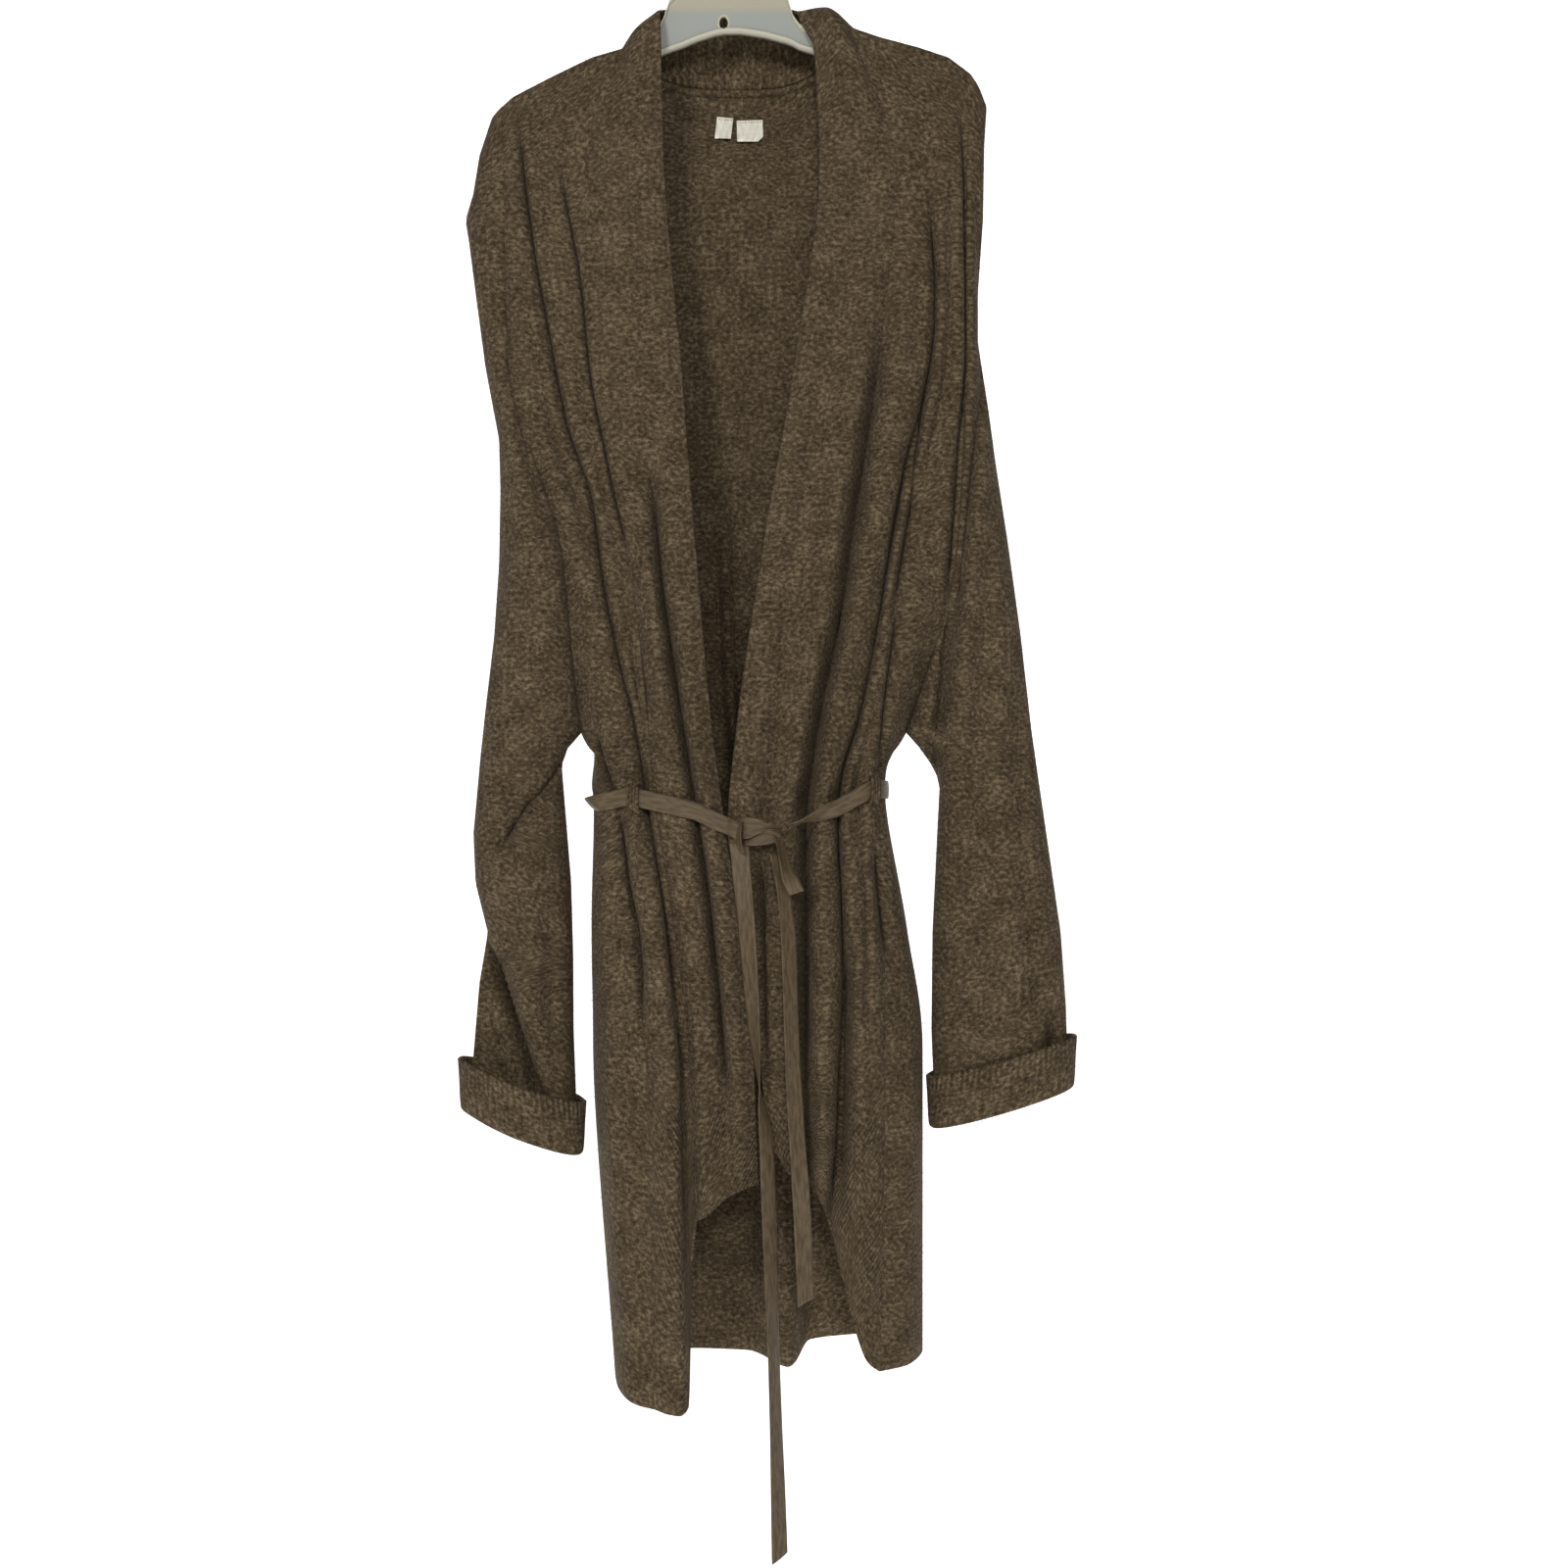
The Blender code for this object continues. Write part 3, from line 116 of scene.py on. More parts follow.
# %% Soft studio light
Lamp = namedtuple("Lamp", "name place aim size power")
LAMPS = [
    Lamp("key_light", (-0.9, -2.4, 0.3), (0.0, 0.0, -0.4), 0.55, 28.0),
    Lamp("front_light", (0.2, -2.8, 0.0), (0.0, 0.0, -0.3), 0.4, 27.0),
    Lamp("top_light", (0.2, -0.6, 1.6), (0.0, 0.1, -0.5), 1.4, 4.0),
    Lamp("back_light", (-0.4, 1.4, 0.9), (0.0, 0.0, -0.5), 1.6, 16.0),
]
for lamp in LAMPS:
    data = bpy.data.lights.new(lamp.name, "AREA")
    data.shape = "DISK"
    data.size = lamp.size
    data.energy = lamp.power
    light = bpy.data.objects.new(lamp.name, data)
    light.location = lamp.place
    aim = Vector(lamp.aim) - Vector(lamp.place)
    light.rotation_euler = aim.to_track_quat("-Z", "Y").to_euler()
    bpy.context.scene.collection.objects.link(light)

world = bpy.data.worlds.new("studio_air")
world.use_nodes = True
world.node_tree.nodes["Background"].inputs["Color"].default_value = (1, 1, 1, 1)
world.node_tree.nodes["Background"].inputs["Strength"].default_value = 0.05
bpy.context.scene.world = world
bpy.context.scene.view_settings.view_transform = "Standard"
print("lamps", len(LAMPS))

# %% [markdown]
# ## Reading a fold table
#
# Hanging cloth is mostly long folds that run down from the shoulder. A table names each fold line
# once and says where it is at eight heights. A curve that never swings past its points reads the
# table between those lines, so a crest stays a crest and a trough stays a trough. The places across
# are as the photo shows them, and `true_across` undoes the widening of what is nearer the camera.

# %% Curves through table rows
VIEW_DISTANCE = 1600.0
VIEW_ACROSS = 39.0


def smooth(points, knots, places):
    """A curve through the points that never swings past them, read at the given places."""
    points = np.asarray(points, float)
    flat = points.reshape(len(points), -1)
    knots = np.asarray(knots, float)
    gap = np.diff(knots)[:, None]
    rise = np.diff(flat, axis=0) / gap
    slope = np.zeros_like(flat)
    slope[0] = rise[0]
    slope[-1] = rise[-1]
    if len(points) > 2:
        before = rise[:-1]
        after = rise[1:]
        same_way = before * after > 0
        weight_before = 2 * gap[1:] + gap[:-1]
        weight_after = gap[1:] + 2 * gap[:-1]
        safe_before = np.where(same_way, before, 1.0)
        safe_after = np.where(same_way, after, 1.0)
        mean = (weight_before + weight_after) / (weight_before / safe_before + weight_after / safe_after)
        slope[1:-1] = np.where(same_way, mean, 0.0)
    places = np.asarray(places, float)
    piece = np.clip(np.searchsorted(knots, places, side="right") - 1, 0, len(knots) - 2)
    width = gap[piece]
    t = ((places - knots[piece])[:, None]) / width
    value = (flat[piece] * (2 * t**3 - 3 * t**2 + 1) + flat[piece + 1] * (3 * t**2 - 2 * t**3)
             + slope[piece] * width * (t**3 - 2 * t**2 + t) + slope[piece + 1] * width * (t**3 - t**2))
    return value.reshape((len(places),) + points.shape[1:])


def between(table, place):
    """Read a table whose first column is a place, in either direction, at that place."""
    order = np.argsort(table[:, 0])
    return np.array([np.interp(place, table[order, 0], table[order, k])
                     for k in range(1, table.shape[1])])


def ramp(value):
    """0 below 0, 1 above 1, and an even rise between."""
    held = np.clip(value, 0.0, 1.0)
    return held * held * (3 - 2 * held)


def true_across(across, depth):
    return VIEW_ACROSS + (across - VIEW_ACROSS) * (1 + depth / VIEW_DISTANCE)


def seen_across(across, depth):
    return VIEW_ACROSS + (across - VIEW_ACROSS) / (1 + depth / VIEW_DISTANCE)


# %% [markdown]
# ## The fold tables
#
# Each row is a seam or a fold line. Its pairs are (across, depth) at the yoke, chest, rib,
# underarm, waist, hip, thigh and hem, and the last number is the height of the hem there.

# %% Heights and rows
STATION_NAMES = ("yoke", "chest", "rib", "underarm", "waist", "hip", "thigh", "hem")
STATION_HEIGHTS = {"yoke": -250.0, "chest": -400.0, "rib": -550.0, "underarm": -690.0,
                   "hip": -850.0, "thigh": -945.0}
STATION_ROWS = np.array([0, 1, 2, 5, 9, 13, 17, 20, 24, 27, 31])
LAST_ROW = 31
UNDERARM_ROW = 17
WAIST_ROW = 20
SHOULDER_RADIUS = 8.5
RIDGE = np.array([(-184, -195), (-175, -187), (-144, -171), (-113, -156), (-89, -149),
                  (94, -133), (115, -140), (145, -148), (169, -156), (185, -168)], float)
SHOULDER_TIP_LEFT = -184.0
SHOULDER_TIP_RIGHT = 185.0
BELT_FRONT = np.array([(-118, -752), (-80, -742), (-30, -753), (5, -769), (34, -769),
                       (54, -760), (80, -751), (108, -736), (124, -738)], float)
BELT_BACK_HEIGHT = -745.0
BELT_BACK_SLOPE = 0.06
Fold = namedtuple("Fold", "name yoke chest rib underarm waist hip thigh hem hem_height")

# %% Left front and left half of the band
FRONT_LEFT_FOLDS = [
    Fold("side seam", (-184, -15), (-181, -20), (-139, -26), (-122, -4), (-82, -60), (-76, -60),
         (-70, -62), (-64, -58), -1212),
    Fold("sleeve crest", (-178, -19), (-166, -28), (-125, -35), (-98, -36), (-79, -53), (-69, -66),
         (-61, -70), (-53, -64), -1214),
    Fold("long trough", (-169, -16), (-147, -20), (-111, -24), (-80, -34), (-75, -46), (-63, -68),
         (-53, -71), (-44, -65), -1215),
    Fold("lap edge", (-148, -21), (-133, -26), (-100, -34), (-77, -37), (-72, -46), (-58, -62),
         (-47, -65), (-38, -59), -1211),
    Fold("lap foot", (-133, -20), (-124, -24), (-92, -31), (-74, -36), (-69, -52), (-54, -50),
         (-42, -52), (-35, -51), -1108),
    Fold("band seam", (-119, -22), (-115, -26), (-85, -33), (-70, -42), (-65, -60), (-48, -54),
         (-37, -56), (-31, -56), -1068),
]
BAND_LEFT_FOLDS = [
    FRONT_LEFT_FOLDS[-1],
    Fold("outer crest", (-103, -26), (-97, -34), (-73, -42), (-58, -54), (-54, -67), (-36, -65),
         (-27, -68), (-22, -68), -1061),
    Fold("middle fold", (-86, -27), (-80, -33), (-59, -36), (-41, -46), (-31, -61), (-17, -58),
         (-9, -61), (-6, -64), -1048),
    Fold("inner crest", (-70, -28), (-61, -37), (-44, -43), (-29, -55), (-20, -68), (-6, -66),
         (2, -68), (5, -68), -1042),
    Fold("free edge", (-57, -25), (-44, -33), (-32, -40), (-19, -52), (-9, -64), (5, -62),
         (14, -64), (18, -64), -1038),
]

# %% Right half of the band and right front
BAND_RIGHT_FOLDS = [
    Fold("band seam", (129, -24), (115, -31), (92, -37), (67, -46), (56, -51), (55, -49),
         (55, -48), (58, -52), -1036),
    Fold("outer crest", (116, -27), (101, -38), (78, -46), (53, -58), (44, -66), (45, -62),
         (48, -62), (55, -61), -1035),
    Fold("middle fold", (101, -27), (83, -37), (59, -42), (37, -53), (28, -64), (35, -65),
         (39, -66), (45, -67), -1031),
    Fold("inner crest", (84, -28), (66, -39), (41, -48), (20, -62), (11, -71), (23, -68),
         (30, -68), (36, -68), -1018),
    Fold("free edge", (68, -25), (49, -33), (23, -42), (2, -56), (-5, -68), (12, -63),
         (21, -64), (27, -64), -1007),
]
FRONT_RIGHT_FOLDS = [
    BAND_RIGHT_FOLDS[0],
    Fold("inner crest", (140, -26), (133, -38), (108, -45), (80, -58), (68, -65), (70, -66),
         (68, -68), (68, -66), -1050),
    Fold("long trough", (156, -22), (154, -24), (122, -29), (94, -41), (80, -47), (83, -50),
         (80, -50), (77, -54), -1076),
    Fold("middle crest", (165, -25), (162, -30), (128, -36), (101, -50), (89, -60), (95, -64),
         (94, -66), (87, -62), -1112),
    Fold("short trough", (173, -22), (168, -25), (134, -31), (109, -46), (97, -55), (105, -61),
         (104, -65), (97, -62), -1152),
    Fold("side crest", (179, -20), (177, -27), (152, -38), (121, -42), (104, -60), (112, -58),
         (113, -61), (106, -60), -1175),
    Fold("side seam", (185, -15), (184, -20), (177, -26), (136, -4), (110, -54), (118, -50),
         (119, -54), (115, -54), -1184),
]

# %% The back, from side seam to side seam
BACK_FOLDS = [
    Fold("left side seam", (-184, 15), (-181, 20), (-139, 26), (-122, 4), (-82, -60), (-76, -60),
         (-70, -62), (-64, -58), -1212),
    Fold("left wrap trough", (-176, 17), (-173, 23), (-133, 30), (-118, 9), (-92, -52),
         (-86, -53), (-80, -58), (-73, -58), -1210),
    Fold("left wrap crest", (-168, 18), (-165, 26), (-126, 33), (-114, 17), (-103, -50),
         (-100, -52), (-98, -54), (-82, -54), -1208),
    Fold("left edge", (-158, 19), (-154, 28), (-118, 36), (-110, 28), (-111, -20), (-113, -18),
         (-111, -13), (-92, -32), -1203),
    Fold("left corner", (-142, 20), (-138, 31), (-108, 40), (-102, 40), (-105, 22), (-111, 28),
         (-111, 32), (-94, 10), -1199),
    Fold("left neck line", (-105, 22), (-112, 32), (-94, 44), (-88, 50), (-80, 45), (-86, 54),
         (-86, 60), (-74, 42), -1199),
    Fold("left back", (-66, 26), (-68, 36), (-62, 46), (-55, 54), (-44, 52), (-46, 62),
         (-45, 68), (-36, 64), -1199),
    Fold("middle trough", (-20, 28), (-18, 38), (-14, 48), (-8, 55), (-4, 55), (0, 62),
         (4, 68), (9, 66), -1201),
    Fold("middle fold", (30, 28), (30, 38), (32, 48), (34, 55), (34, 54), (36, 52),
         (38, 42), (42, 24), -1203),
    Fold("right back", (75, 26), (73, 36), (68, 46), (66, 54), (60, 54), (64, 60),
         (62, 62), (60, 58), -1190),
    Fold("right neck line", (112, 21), (110, 32), (104, 42), (98, 49), (92, 44), (100, 54),
         (104, 59), (100, 61), -1186),
    Fold("right corner", (148, 19), (146, 29), (128, 38), (118, 38), (112, 24), (124, 34),
         (134, 36), (128, 34), -1183),
    Fold("right edge", (170, 18), (165, 27), (151, 33), (125, 25), (118, -14), (136, -6),
         (148, -4), (148, -8), -1180),
    Fold("right wrap crest", (179, 16), (174, 23), (167, 29), (131, 12), (117, -38), (132, -36),
         (142, -38), (138, -42), -1182),
    Fold("right side seam", (185, 15), (180, 20), (175, 26), (136, 4), (110, -54), (118, -50),
         (119, -54), (115, -54), -1184),
]
BACK_COLUMNS = (2, 2, 2, 2, 2, 3, 3, 3, 3, 3, 3, 3, 3, 3)
FRONT_LEFT_COLUMNS = (2, 2, 2, 2, 2)
FRONT_RIGHT_COLUMNS = (2, 2, 2, 2, 2, 2)
BAND_COLUMNS = (2, 2, 2, 2)
NeckLine = namedtuple("NeckLine", "seam crest edge")
NECK_LINES = [
    NeckLine((-89, 0, -149), (-77, 1, -132), (-60, 3, -117)),
    NeckLine((-62, 34, -163), (-62, 35, -134), (-51, 29, -106)),
    NeckLine((-20, 45, -168), (-20, 44, -135), (-18, 37, -103)),
    NeckLine((28, 46, -167), (28, 45, -135), (24, 38, -103)),
    NeckLine((66, 36, -157), (61, 37, -129), (42, 22, -109)),
    NeckLine((94, 0, -133), (72, 0, -116), (50, 1, -119)),
]
COLLAR_FRONT_LEFT = [((-77, -8, -135), (-60, -8, -122)), ((-76, -13, -141), (-59.5, -14, -131))]
COLLAR_FRONT_RIGHT = [((75, -9, -122), (57, -9, -137)), ((78, -14, -130), (63, -14, -151))]

# %% [markdown]
# ## From tables to cloth
#
# A panel starts at the shoulder seam, bends over the hanger's arm and then passes through its eight
# stations. The same functions can make it with few points or with many: `FINE` says how many cloth
# columns and rows stand in for one of the solids' own.

# %% Panels
FINE = 6


def waist_height(across, depth):
    """The belt's height: down to the knot in front, nearly level behind."""
    front = between(BELT_FRONT, across)[0]
    back = BELT_BACK_HEIGHT + BELT_BACK_SLOPE * across
    return front + (back - front) * ramp((depth + 20) / 40)


def places_of(counts):
    """Fine places inside each interval of a table, as a running number of table rows."""
    places = [0.0]
    for row, count in enumerate(counts):
        steps = int(count * FINE)
        places.extend(row + (step + 1) / steps for step in range(steps))
    return np.array(places)


def station_lines(folds, places):
    knots = np.arange(len(folds)) * (places[-1] / (len(folds) - 1))
    lines = []
    for station in STATION_NAMES:
        points = []
        for fold in folds:
            across, depth = getattr(fold, station)
            if station == "waist":
                height = waist_height(across, depth)
            elif station == "hem":
                height = fold.hem_height
            else:
                height = STATION_HEIGHTS[station]
            points.append((true_across(across, depth), depth, height))
        lines.append(smooth(points, knots, places))
    return lines


def shoulder_lines(across, side):
    """Three rows that bend over the hanger's arm."""
    lines = []
    for turn in (0.0, math.pi / 4, math.pi / 2):
        height = np.interp(across, RIDGE[:, 0], RIDGE[:, 1]) - SHOULDER_RADIUS * (1 - math.cos(turn))
        depth = np.full(len(across), side * SHOULDER_RADIUS * math.sin(turn))
        lines.append(np.stack([across, depth, height], axis=1))
    return lines


def panel(top_lines, folds, places):
    lines = np.array(list(top_lines) + station_lines(folds, places))
    return smooth(lines, STATION_ROWS, np.linspace(0, LAST_ROW, LAST_ROW * FINE + 1))


def side_across(start, end, counts):
    return np.linspace(start, end, int(sum(counts) * FINE) + 1)


def neck_lines():
    rows = np.array([[line.seam, line.crest, line.edge] for line in NECK_LINES], float)
    return smooth(rows, np.arange(len(rows)), places_of(BACK_COLUMNS[5:10]))


# %% Gathers that the belt draws into the back
Gather = namedtuple("Gather", "column depth reach_up reach_down")
GATHERS = [
    Gather(9, 7, 3, 4), Gather(12, 9, 5, 6), Gather(14, 6, 3, 4), Gather(17, 11, 6, 7),
    Gather(19, 7, 3, 5), Gather(22, 10, 5, 6), Gather(24, 8, 4, 4), Gather(27, 9, 4, 6),
    Gather(30, 7, 3, 4),
]


def gathered(grid):
    rows = np.arange(len(grid)) / FINE
    columns = np.arange(grid.shape[1]) / FINE
    for gather in GATHERS:
        reach = np.where(rows < WAIST_ROW, gather.reach_up, gather.reach_down)
        fade = ramp(1 - np.abs(rows - WAIST_ROW) / (reach + 1))
        shape = np.cos(np.clip(np.abs(columns - gather.column), 0, 1) * math.pi / 2) ** 2
        grid[:, :, 1] -= gather.depth * fade[:, None] * shape[None, :]
    return grid


# %% The four flat-knitted pieces
across_left = side_across(SHOULDER_TIP_LEFT, NECK_LINES[0].seam[0], FRONT_LEFT_COLUMNS)
front_left = panel(shoulder_lines(across_left, -1), FRONT_LEFT_FOLDS, places_of(FRONT_LEFT_COLUMNS))
across_right = side_across(NECK_LINES[-1].seam[0], SHOULDER_TIP_RIGHT, FRONT_RIGHT_COLUMNS)
front_right = panel(shoulder_lines(across_right, -1), FRONT_RIGHT_FOLDS, places_of(FRONT_RIGHT_COLUMNS))


def back_panel():
    neck = neck_lines()[:, 0]
    left_lines = shoulder_lines(across_left, 1)
    right_lines = shoulder_lines(across_right, 1)
    top = []
    for row, (drop, back) in enumerate(((0.0, 0.0), (6.0, 1.0), (13.0, 1.5))):
        middle = neck[1:-1] + np.array([0.0, back, -drop])
        top.append(np.concatenate([left_lines[row], middle, right_lines[row]]))
    grid = gathered(panel(top, BACK_FOLDS, places_of(BACK_COLUMNS)))
    below = UNDERARM_ROW * FINE + FINE
    grid[below:, 0] = front_left[below:, 0]
    grid[below:, -1] = front_right[below:, -1]
    return grid


def band_panel():
    """The shawl band, from the left hem up, round the neck and down to the right hem."""
    places = places_of(BAND_COLUMNS)
    unit = places / places[-1]
    knots = np.array([0, 0.5, 1])
    neck = np.array([smooth(line, knots, unit) for line in neck_lines()])
    sides = []
    for folds, below, front in ((BAND_LEFT_FOLDS, COLLAR_FRONT_LEFT, front_left[:, -1]),
                                (BAND_RIGHT_FOLDS, COLLAR_FRONT_RIGHT, front_right[:, 0])):
        first = neck[0] if folds is BAND_LEFT_FOLDS else neck[-1]
        top = [first]
        for row, (crest, edge) in enumerate(below):
            top.append(smooth([tuple(front[(row + 1) * FINE]), crest, edge], knots, unit))
        grid = panel(top, folds, places)
        grid[:, 0] = front
        sides.append(grid)
    return np.concatenate([sides[0][::-1], neck[1:-1], sides[1]])


back = back_panel()
band = band_panel()
CLOTH_GRIDS = {"front_left": front_left, "front_right": front_right, "back": back, "collar_band": band}
for name, grid in CLOTH_GRIDS.items():
    print(name, "rows and columns", grid.shape[:2])

# %% [markdown]
# ## Where the belt runs
#
# A ribbon that is drawn tight round gathered cloth spans from crest to crest, so its path is the
# tightest line round the waist in plan, moved out by the two walls. It is worked out here, before
# the creases are pressed in, because the solids' ribbon was too.

# %% The belt's path round the waist
RIBBON_WIDTH = 13.5
RIBBON_WALL = 1.0
BELT_CLEARANCE = 2.0
BELT_POINTS = 72
KNOT_LEFT_END = 3.0
KNOT_RIGHT_END = 37.0
BELT_ENDS_BEFORE = -40.0
KNIT_WALL = 2.6


def outline_round(points):
    """The tightest line round a set of points in plan, anticlockwise from above."""
    ordered = sorted(set((float(x), float(y)) for x, y in points))

    def half(sequence):
        chain = []
        for point in sequence:
            while len(chain) > 1:
                first = np.subtract(chain[-1], chain[-2])
                second = np.subtract(point, chain[-1])
                if first[0] * second[1] - first[1] * second[0] > 0:
                    break
                chain.pop()
            chain.append(point)
        return chain[:-1]

    return np.array(half(ordered) + half(reversed(ordered)))


def belt_path():
    """The ribbon's middle line in plan, from the knot's left end round the back to its right end."""
    near = []
    for row in range((WAIST_ROW - 1) * FINE, (WAIST_ROW + 1) * FINE + 1, FINE):
        band_rows = (band[LAST_ROW * FINE - row], band[len(band) - 1 - LAST_ROW * FINE + row])
        for line in (front_left[row], front_right[row], back[row], *band_rows):
            near.extend((x, y) for x, y, _ in line)
    corners = outline_round(near)
    edge = np.roll(corners, -1, axis=0) - corners
    normal = np.stack([edge[:, 1], -edge[:, 0]], axis=1)
    normal /= np.linalg.norm(normal, axis=1)[:, None]
    corner_normal = normal + np.roll(normal, 1, axis=0)
    corner_normal /= np.linalg.norm(corner_normal, axis=1)[:, None]
    ring = corners + corner_normal * (KNIT_WALL / 2 + RIBBON_WALL / 2 + BELT_CLEARANCE)
    knot = np.array([(KNOT_LEFT_END + KNOT_RIGHT_END) / 2, ring[:, 1].min()])
    ring = np.roll(ring, -int(np.argmin(np.linalg.norm(ring - knot, axis=1))), axis=0)
    closed = np.concatenate([ring, ring[:1]])
    length = np.concatenate([[0], np.cumsum(np.linalg.norm(np.diff(closed, axis=0), axis=1))])
    even = np.linspace(0, length[-1], BELT_POINTS + 1)
    line = np.stack([np.interp(even, length, closed[:, k]) for k in range(2)], axis=1)
    line = (np.roll(line[:-1], 1, axis=0) + 2 * line[:-1] + np.roll(line[:-1], -1, axis=0)) / 4
    kept = np.array([(x, y) for x, y in line[::-1]
                     if y > BELT_ENDS_BEFORE or not KNOT_LEFT_END < x < KNOT_RIGHT_END])
    jump = np.linalg.norm(np.diff(np.concatenate([kept, kept[:1]]), axis=0), axis=1)
    return np.roll(kept, -(int(np.argmax(jump)) + 1), axis=0)


BELT_LINE = belt_path()
print("belt points", len(BELT_LINE), "from", BELT_LINE[0].round(1), "to", BELT_LINE[-1].round(1))

# %% [markdown]
# ## Creases listed one by one
#
# The fold tables give the large swings of the cloth. What the eye reads as folds in the photo are
# narrower: dark lines where one roll of cloth rests against the next. Each one is a row of its own
# in a table, with its line from top to bottom, its half width and its depth, and no two are alike.
# A crease with a lap also pulls the roll on one side over the valley, which is what makes a real
# fold look dark and not like a dent. The back, which the photo hides, has similar creases that fan
# out from the belt and from the shoulder blades.

# %% Crease table
Crease = namedtuple("Crease", "cloths line half_width depth lap fade")
FRONT_CREASES = [
    Crease(("front_left",), ((-172, -220), (-163, -303), (-151, -372), (-135, -452), (-115, -512),
                             (-107, -575), (-92, -647), (-83, -680), (-72, -745), (-64, -798),
                             (-58, -842), (-52, -899), (-47, -942), (-44, -1029), (-41, -1100)),
           2.7, 13, -3.4, 150),
    Crease(("front_left", "collar_band"), ((-137, -262), (-123, -327), (-113, -417), (-101, -476),
                                           (-86, -546)), 2.5, 12, 3.2, 50),
    Crease(("collar_band",), ((-65, -499), (-58, -575), (-47, -650), (-35, -725), (-27, -774),
                              (-22, -806), (-15, -866), (-10, -916), (-6, -965)), 4.2, 12, 2.6, 90),
    Crease(("collar_band",), ((-92, -560), (-76, -640), (-62, -700)), 7.0, 4, 0.0, 60),
    Crease(("front_left", "back"), ((-91, -758), (-86, -806), (-77, -848), (-73, -905)), 3.0, 11, -2.6, 50),
    Crease(("front_left", "back"), ((-83, -813), (-77, -866), (-73, -930)), 3.0, 3, 0.0, 30),
    Crease(("front_left", "back"), ((-126, -700), (-119, -722), (-113, -748)), 4.0, 10, 2.0, 20),
    Crease(("front_left", "back"), ((-110, -690), (-101, -722), (-92, -748)), 2.8, 9, 2.2, 20),
    Crease(("collar_band", "front_right"), ((118, -383), (104, -471), (94, -534), (84, -609),
                                            (72, -657), (61, -721), (56, -770), (57, -850),
                                            (56, -950)), 6.5, 11, 1.5, 90),
    Crease(("collar_band",), ((88, -330), (66, -430), (44, -560), (26, -690)), 9.0, 3, 0.0, 120),
    Crease(("front_right",), ((156, -290), (158, -364), (148, -431), (134, -479), (124, -534),
                              (112, -613), (98, -681), (83, -726), (80, -770), (83, -835),
                              (81, -920), (79, -953), (76, -1045)), 3.0, 14, -3.6, 70),
    Crease(("front_right",), ((90, -850), (88, -950), (85, -1050)), 5.0, 13, -2.0, 60),
    Crease(("collar_band",), ((20, -784), (23, -815), (26, -850)), 7.0, 7, 0.0, 26),
    Crease(("front_right",), ((151, -425), (139, -518), (127, -590)), 2.6, 6, 0.8, 40),
    Crease(("front_right",), ((128, -600), (116, -690), (112, -735)), 2.4, 7, -1.2, 40),
    Crease(("front_right",), ((180, -215), (182, -391), (176, -471), (172, -534),
                              (168, -590)), 2.4, 9, -2.4, 70),
    Crease(("front_right", "back"), ((110, -775), (114, -820), (119, -865)), 4.0, 11, 2.4, 40),
    Crease(("front_right", "back"), ((101, -770), (104, -850), (105, -930)), 3.0, 3, 0.0, 50),
    Crease(("collar_band",), ((22, -800), (24, -870), (26, -950)), 3.5, 6, 1.2, 50),
]
BACK_CREASES = [
    Crease(("back",), ((-118, -330), (-96, -470), (-72, -600), (-55, -735)), 5.0, -8, 2.0, 110),
    Crease(("back",), ((-60, -420), (-44, -560), (-30, -735)), 4.0, -6, -1.5, 90),
    Crease(("back",), ((-8, -520), (-4, -640), (2, -735)), 3.5, -7, 1.5, 70),
    Crease(("back",), ((58, -380), (46, -540), (38, -735)), 4.5, -7, 1.8, 100),
    Crease(("back",), ((128, -300), (108, -450), (88, -610), (74, -735)), 5.0, -9, -2.2, 120),
    Crease(("back",), ((-72, -762), (-84, -870), (-92, -1010)), 4.5, -9, 2.2, 80),
    Crease(("back",), ((-34, -762), (-40, -880), (-38, -1080)), 4.0, -7, -1.8, 110),
    Crease(("back",), ((6, -762), (10, -860), (18, -960)), 3.2, -8, 1.6, 60),
    Crease(("back",), ((48, -762), (58, -900), (66, -1100)), 4.6, -10, -2.4, 130),
    Crease(("back",), ((88, -762), (104, -860), (112, -930)), 3.6, -7, 1.6, 60),
]
FRONT_DEPTH = 6.0
CREASE_SHARE = 1.45
FADE_BEYOND = 0.3
# The rolls beside a valley and the lap over it: their places and widths are shares of its half width.
ROLL_HEIGHT = 0.16
ROLL_PLACE = 2.4
ROLL_HALF = 1.3
LAP_PLACE = 1.3


# %% Pressing a crease into a grid
def press(grid, crease, where):
    """Push the cloth in along one line, as seen from the front, and pull a lap over it."""
    line = np.array(crease.line, float)
    order = np.argsort(line[:, 1])
    heights = line[order, 1]
    x, y, z = grid[:, :, 0], grid[:, :, 1], grid[:, :, 2]
    bend = smooth(line[order, :1], heights, np.clip(z.reshape(-1), heights[0], heights[-1]))
    centre = bend.reshape(z.shape)
    beyond = crease.fade * FADE_BEYOND
    strength = ramp((heights[-1] + beyond - z) / crease.fade)
    strength = strength * ramp((z - heights[0] + beyond) / crease.fade) * where
    offset = (seen_across(x, y) - centre) / crease.half_width
    valley = np.exp(-offset**2)
    rolls = np.exp(-((np.abs(offset) - ROLL_PLACE) / ROLL_HALF) ** 2)
    grid[:, :, 1] = y + strength * CREASE_SHARE * crease.depth * (valley - ROLL_HEIGHT * rolls)
    if crease.lap:
        side = math.copysign(1.0, crease.lap)
        near = np.exp(-(offset * side - LAP_PLACE) ** 2)
        grid[:, :, 0] = x - strength * crease.lap * near


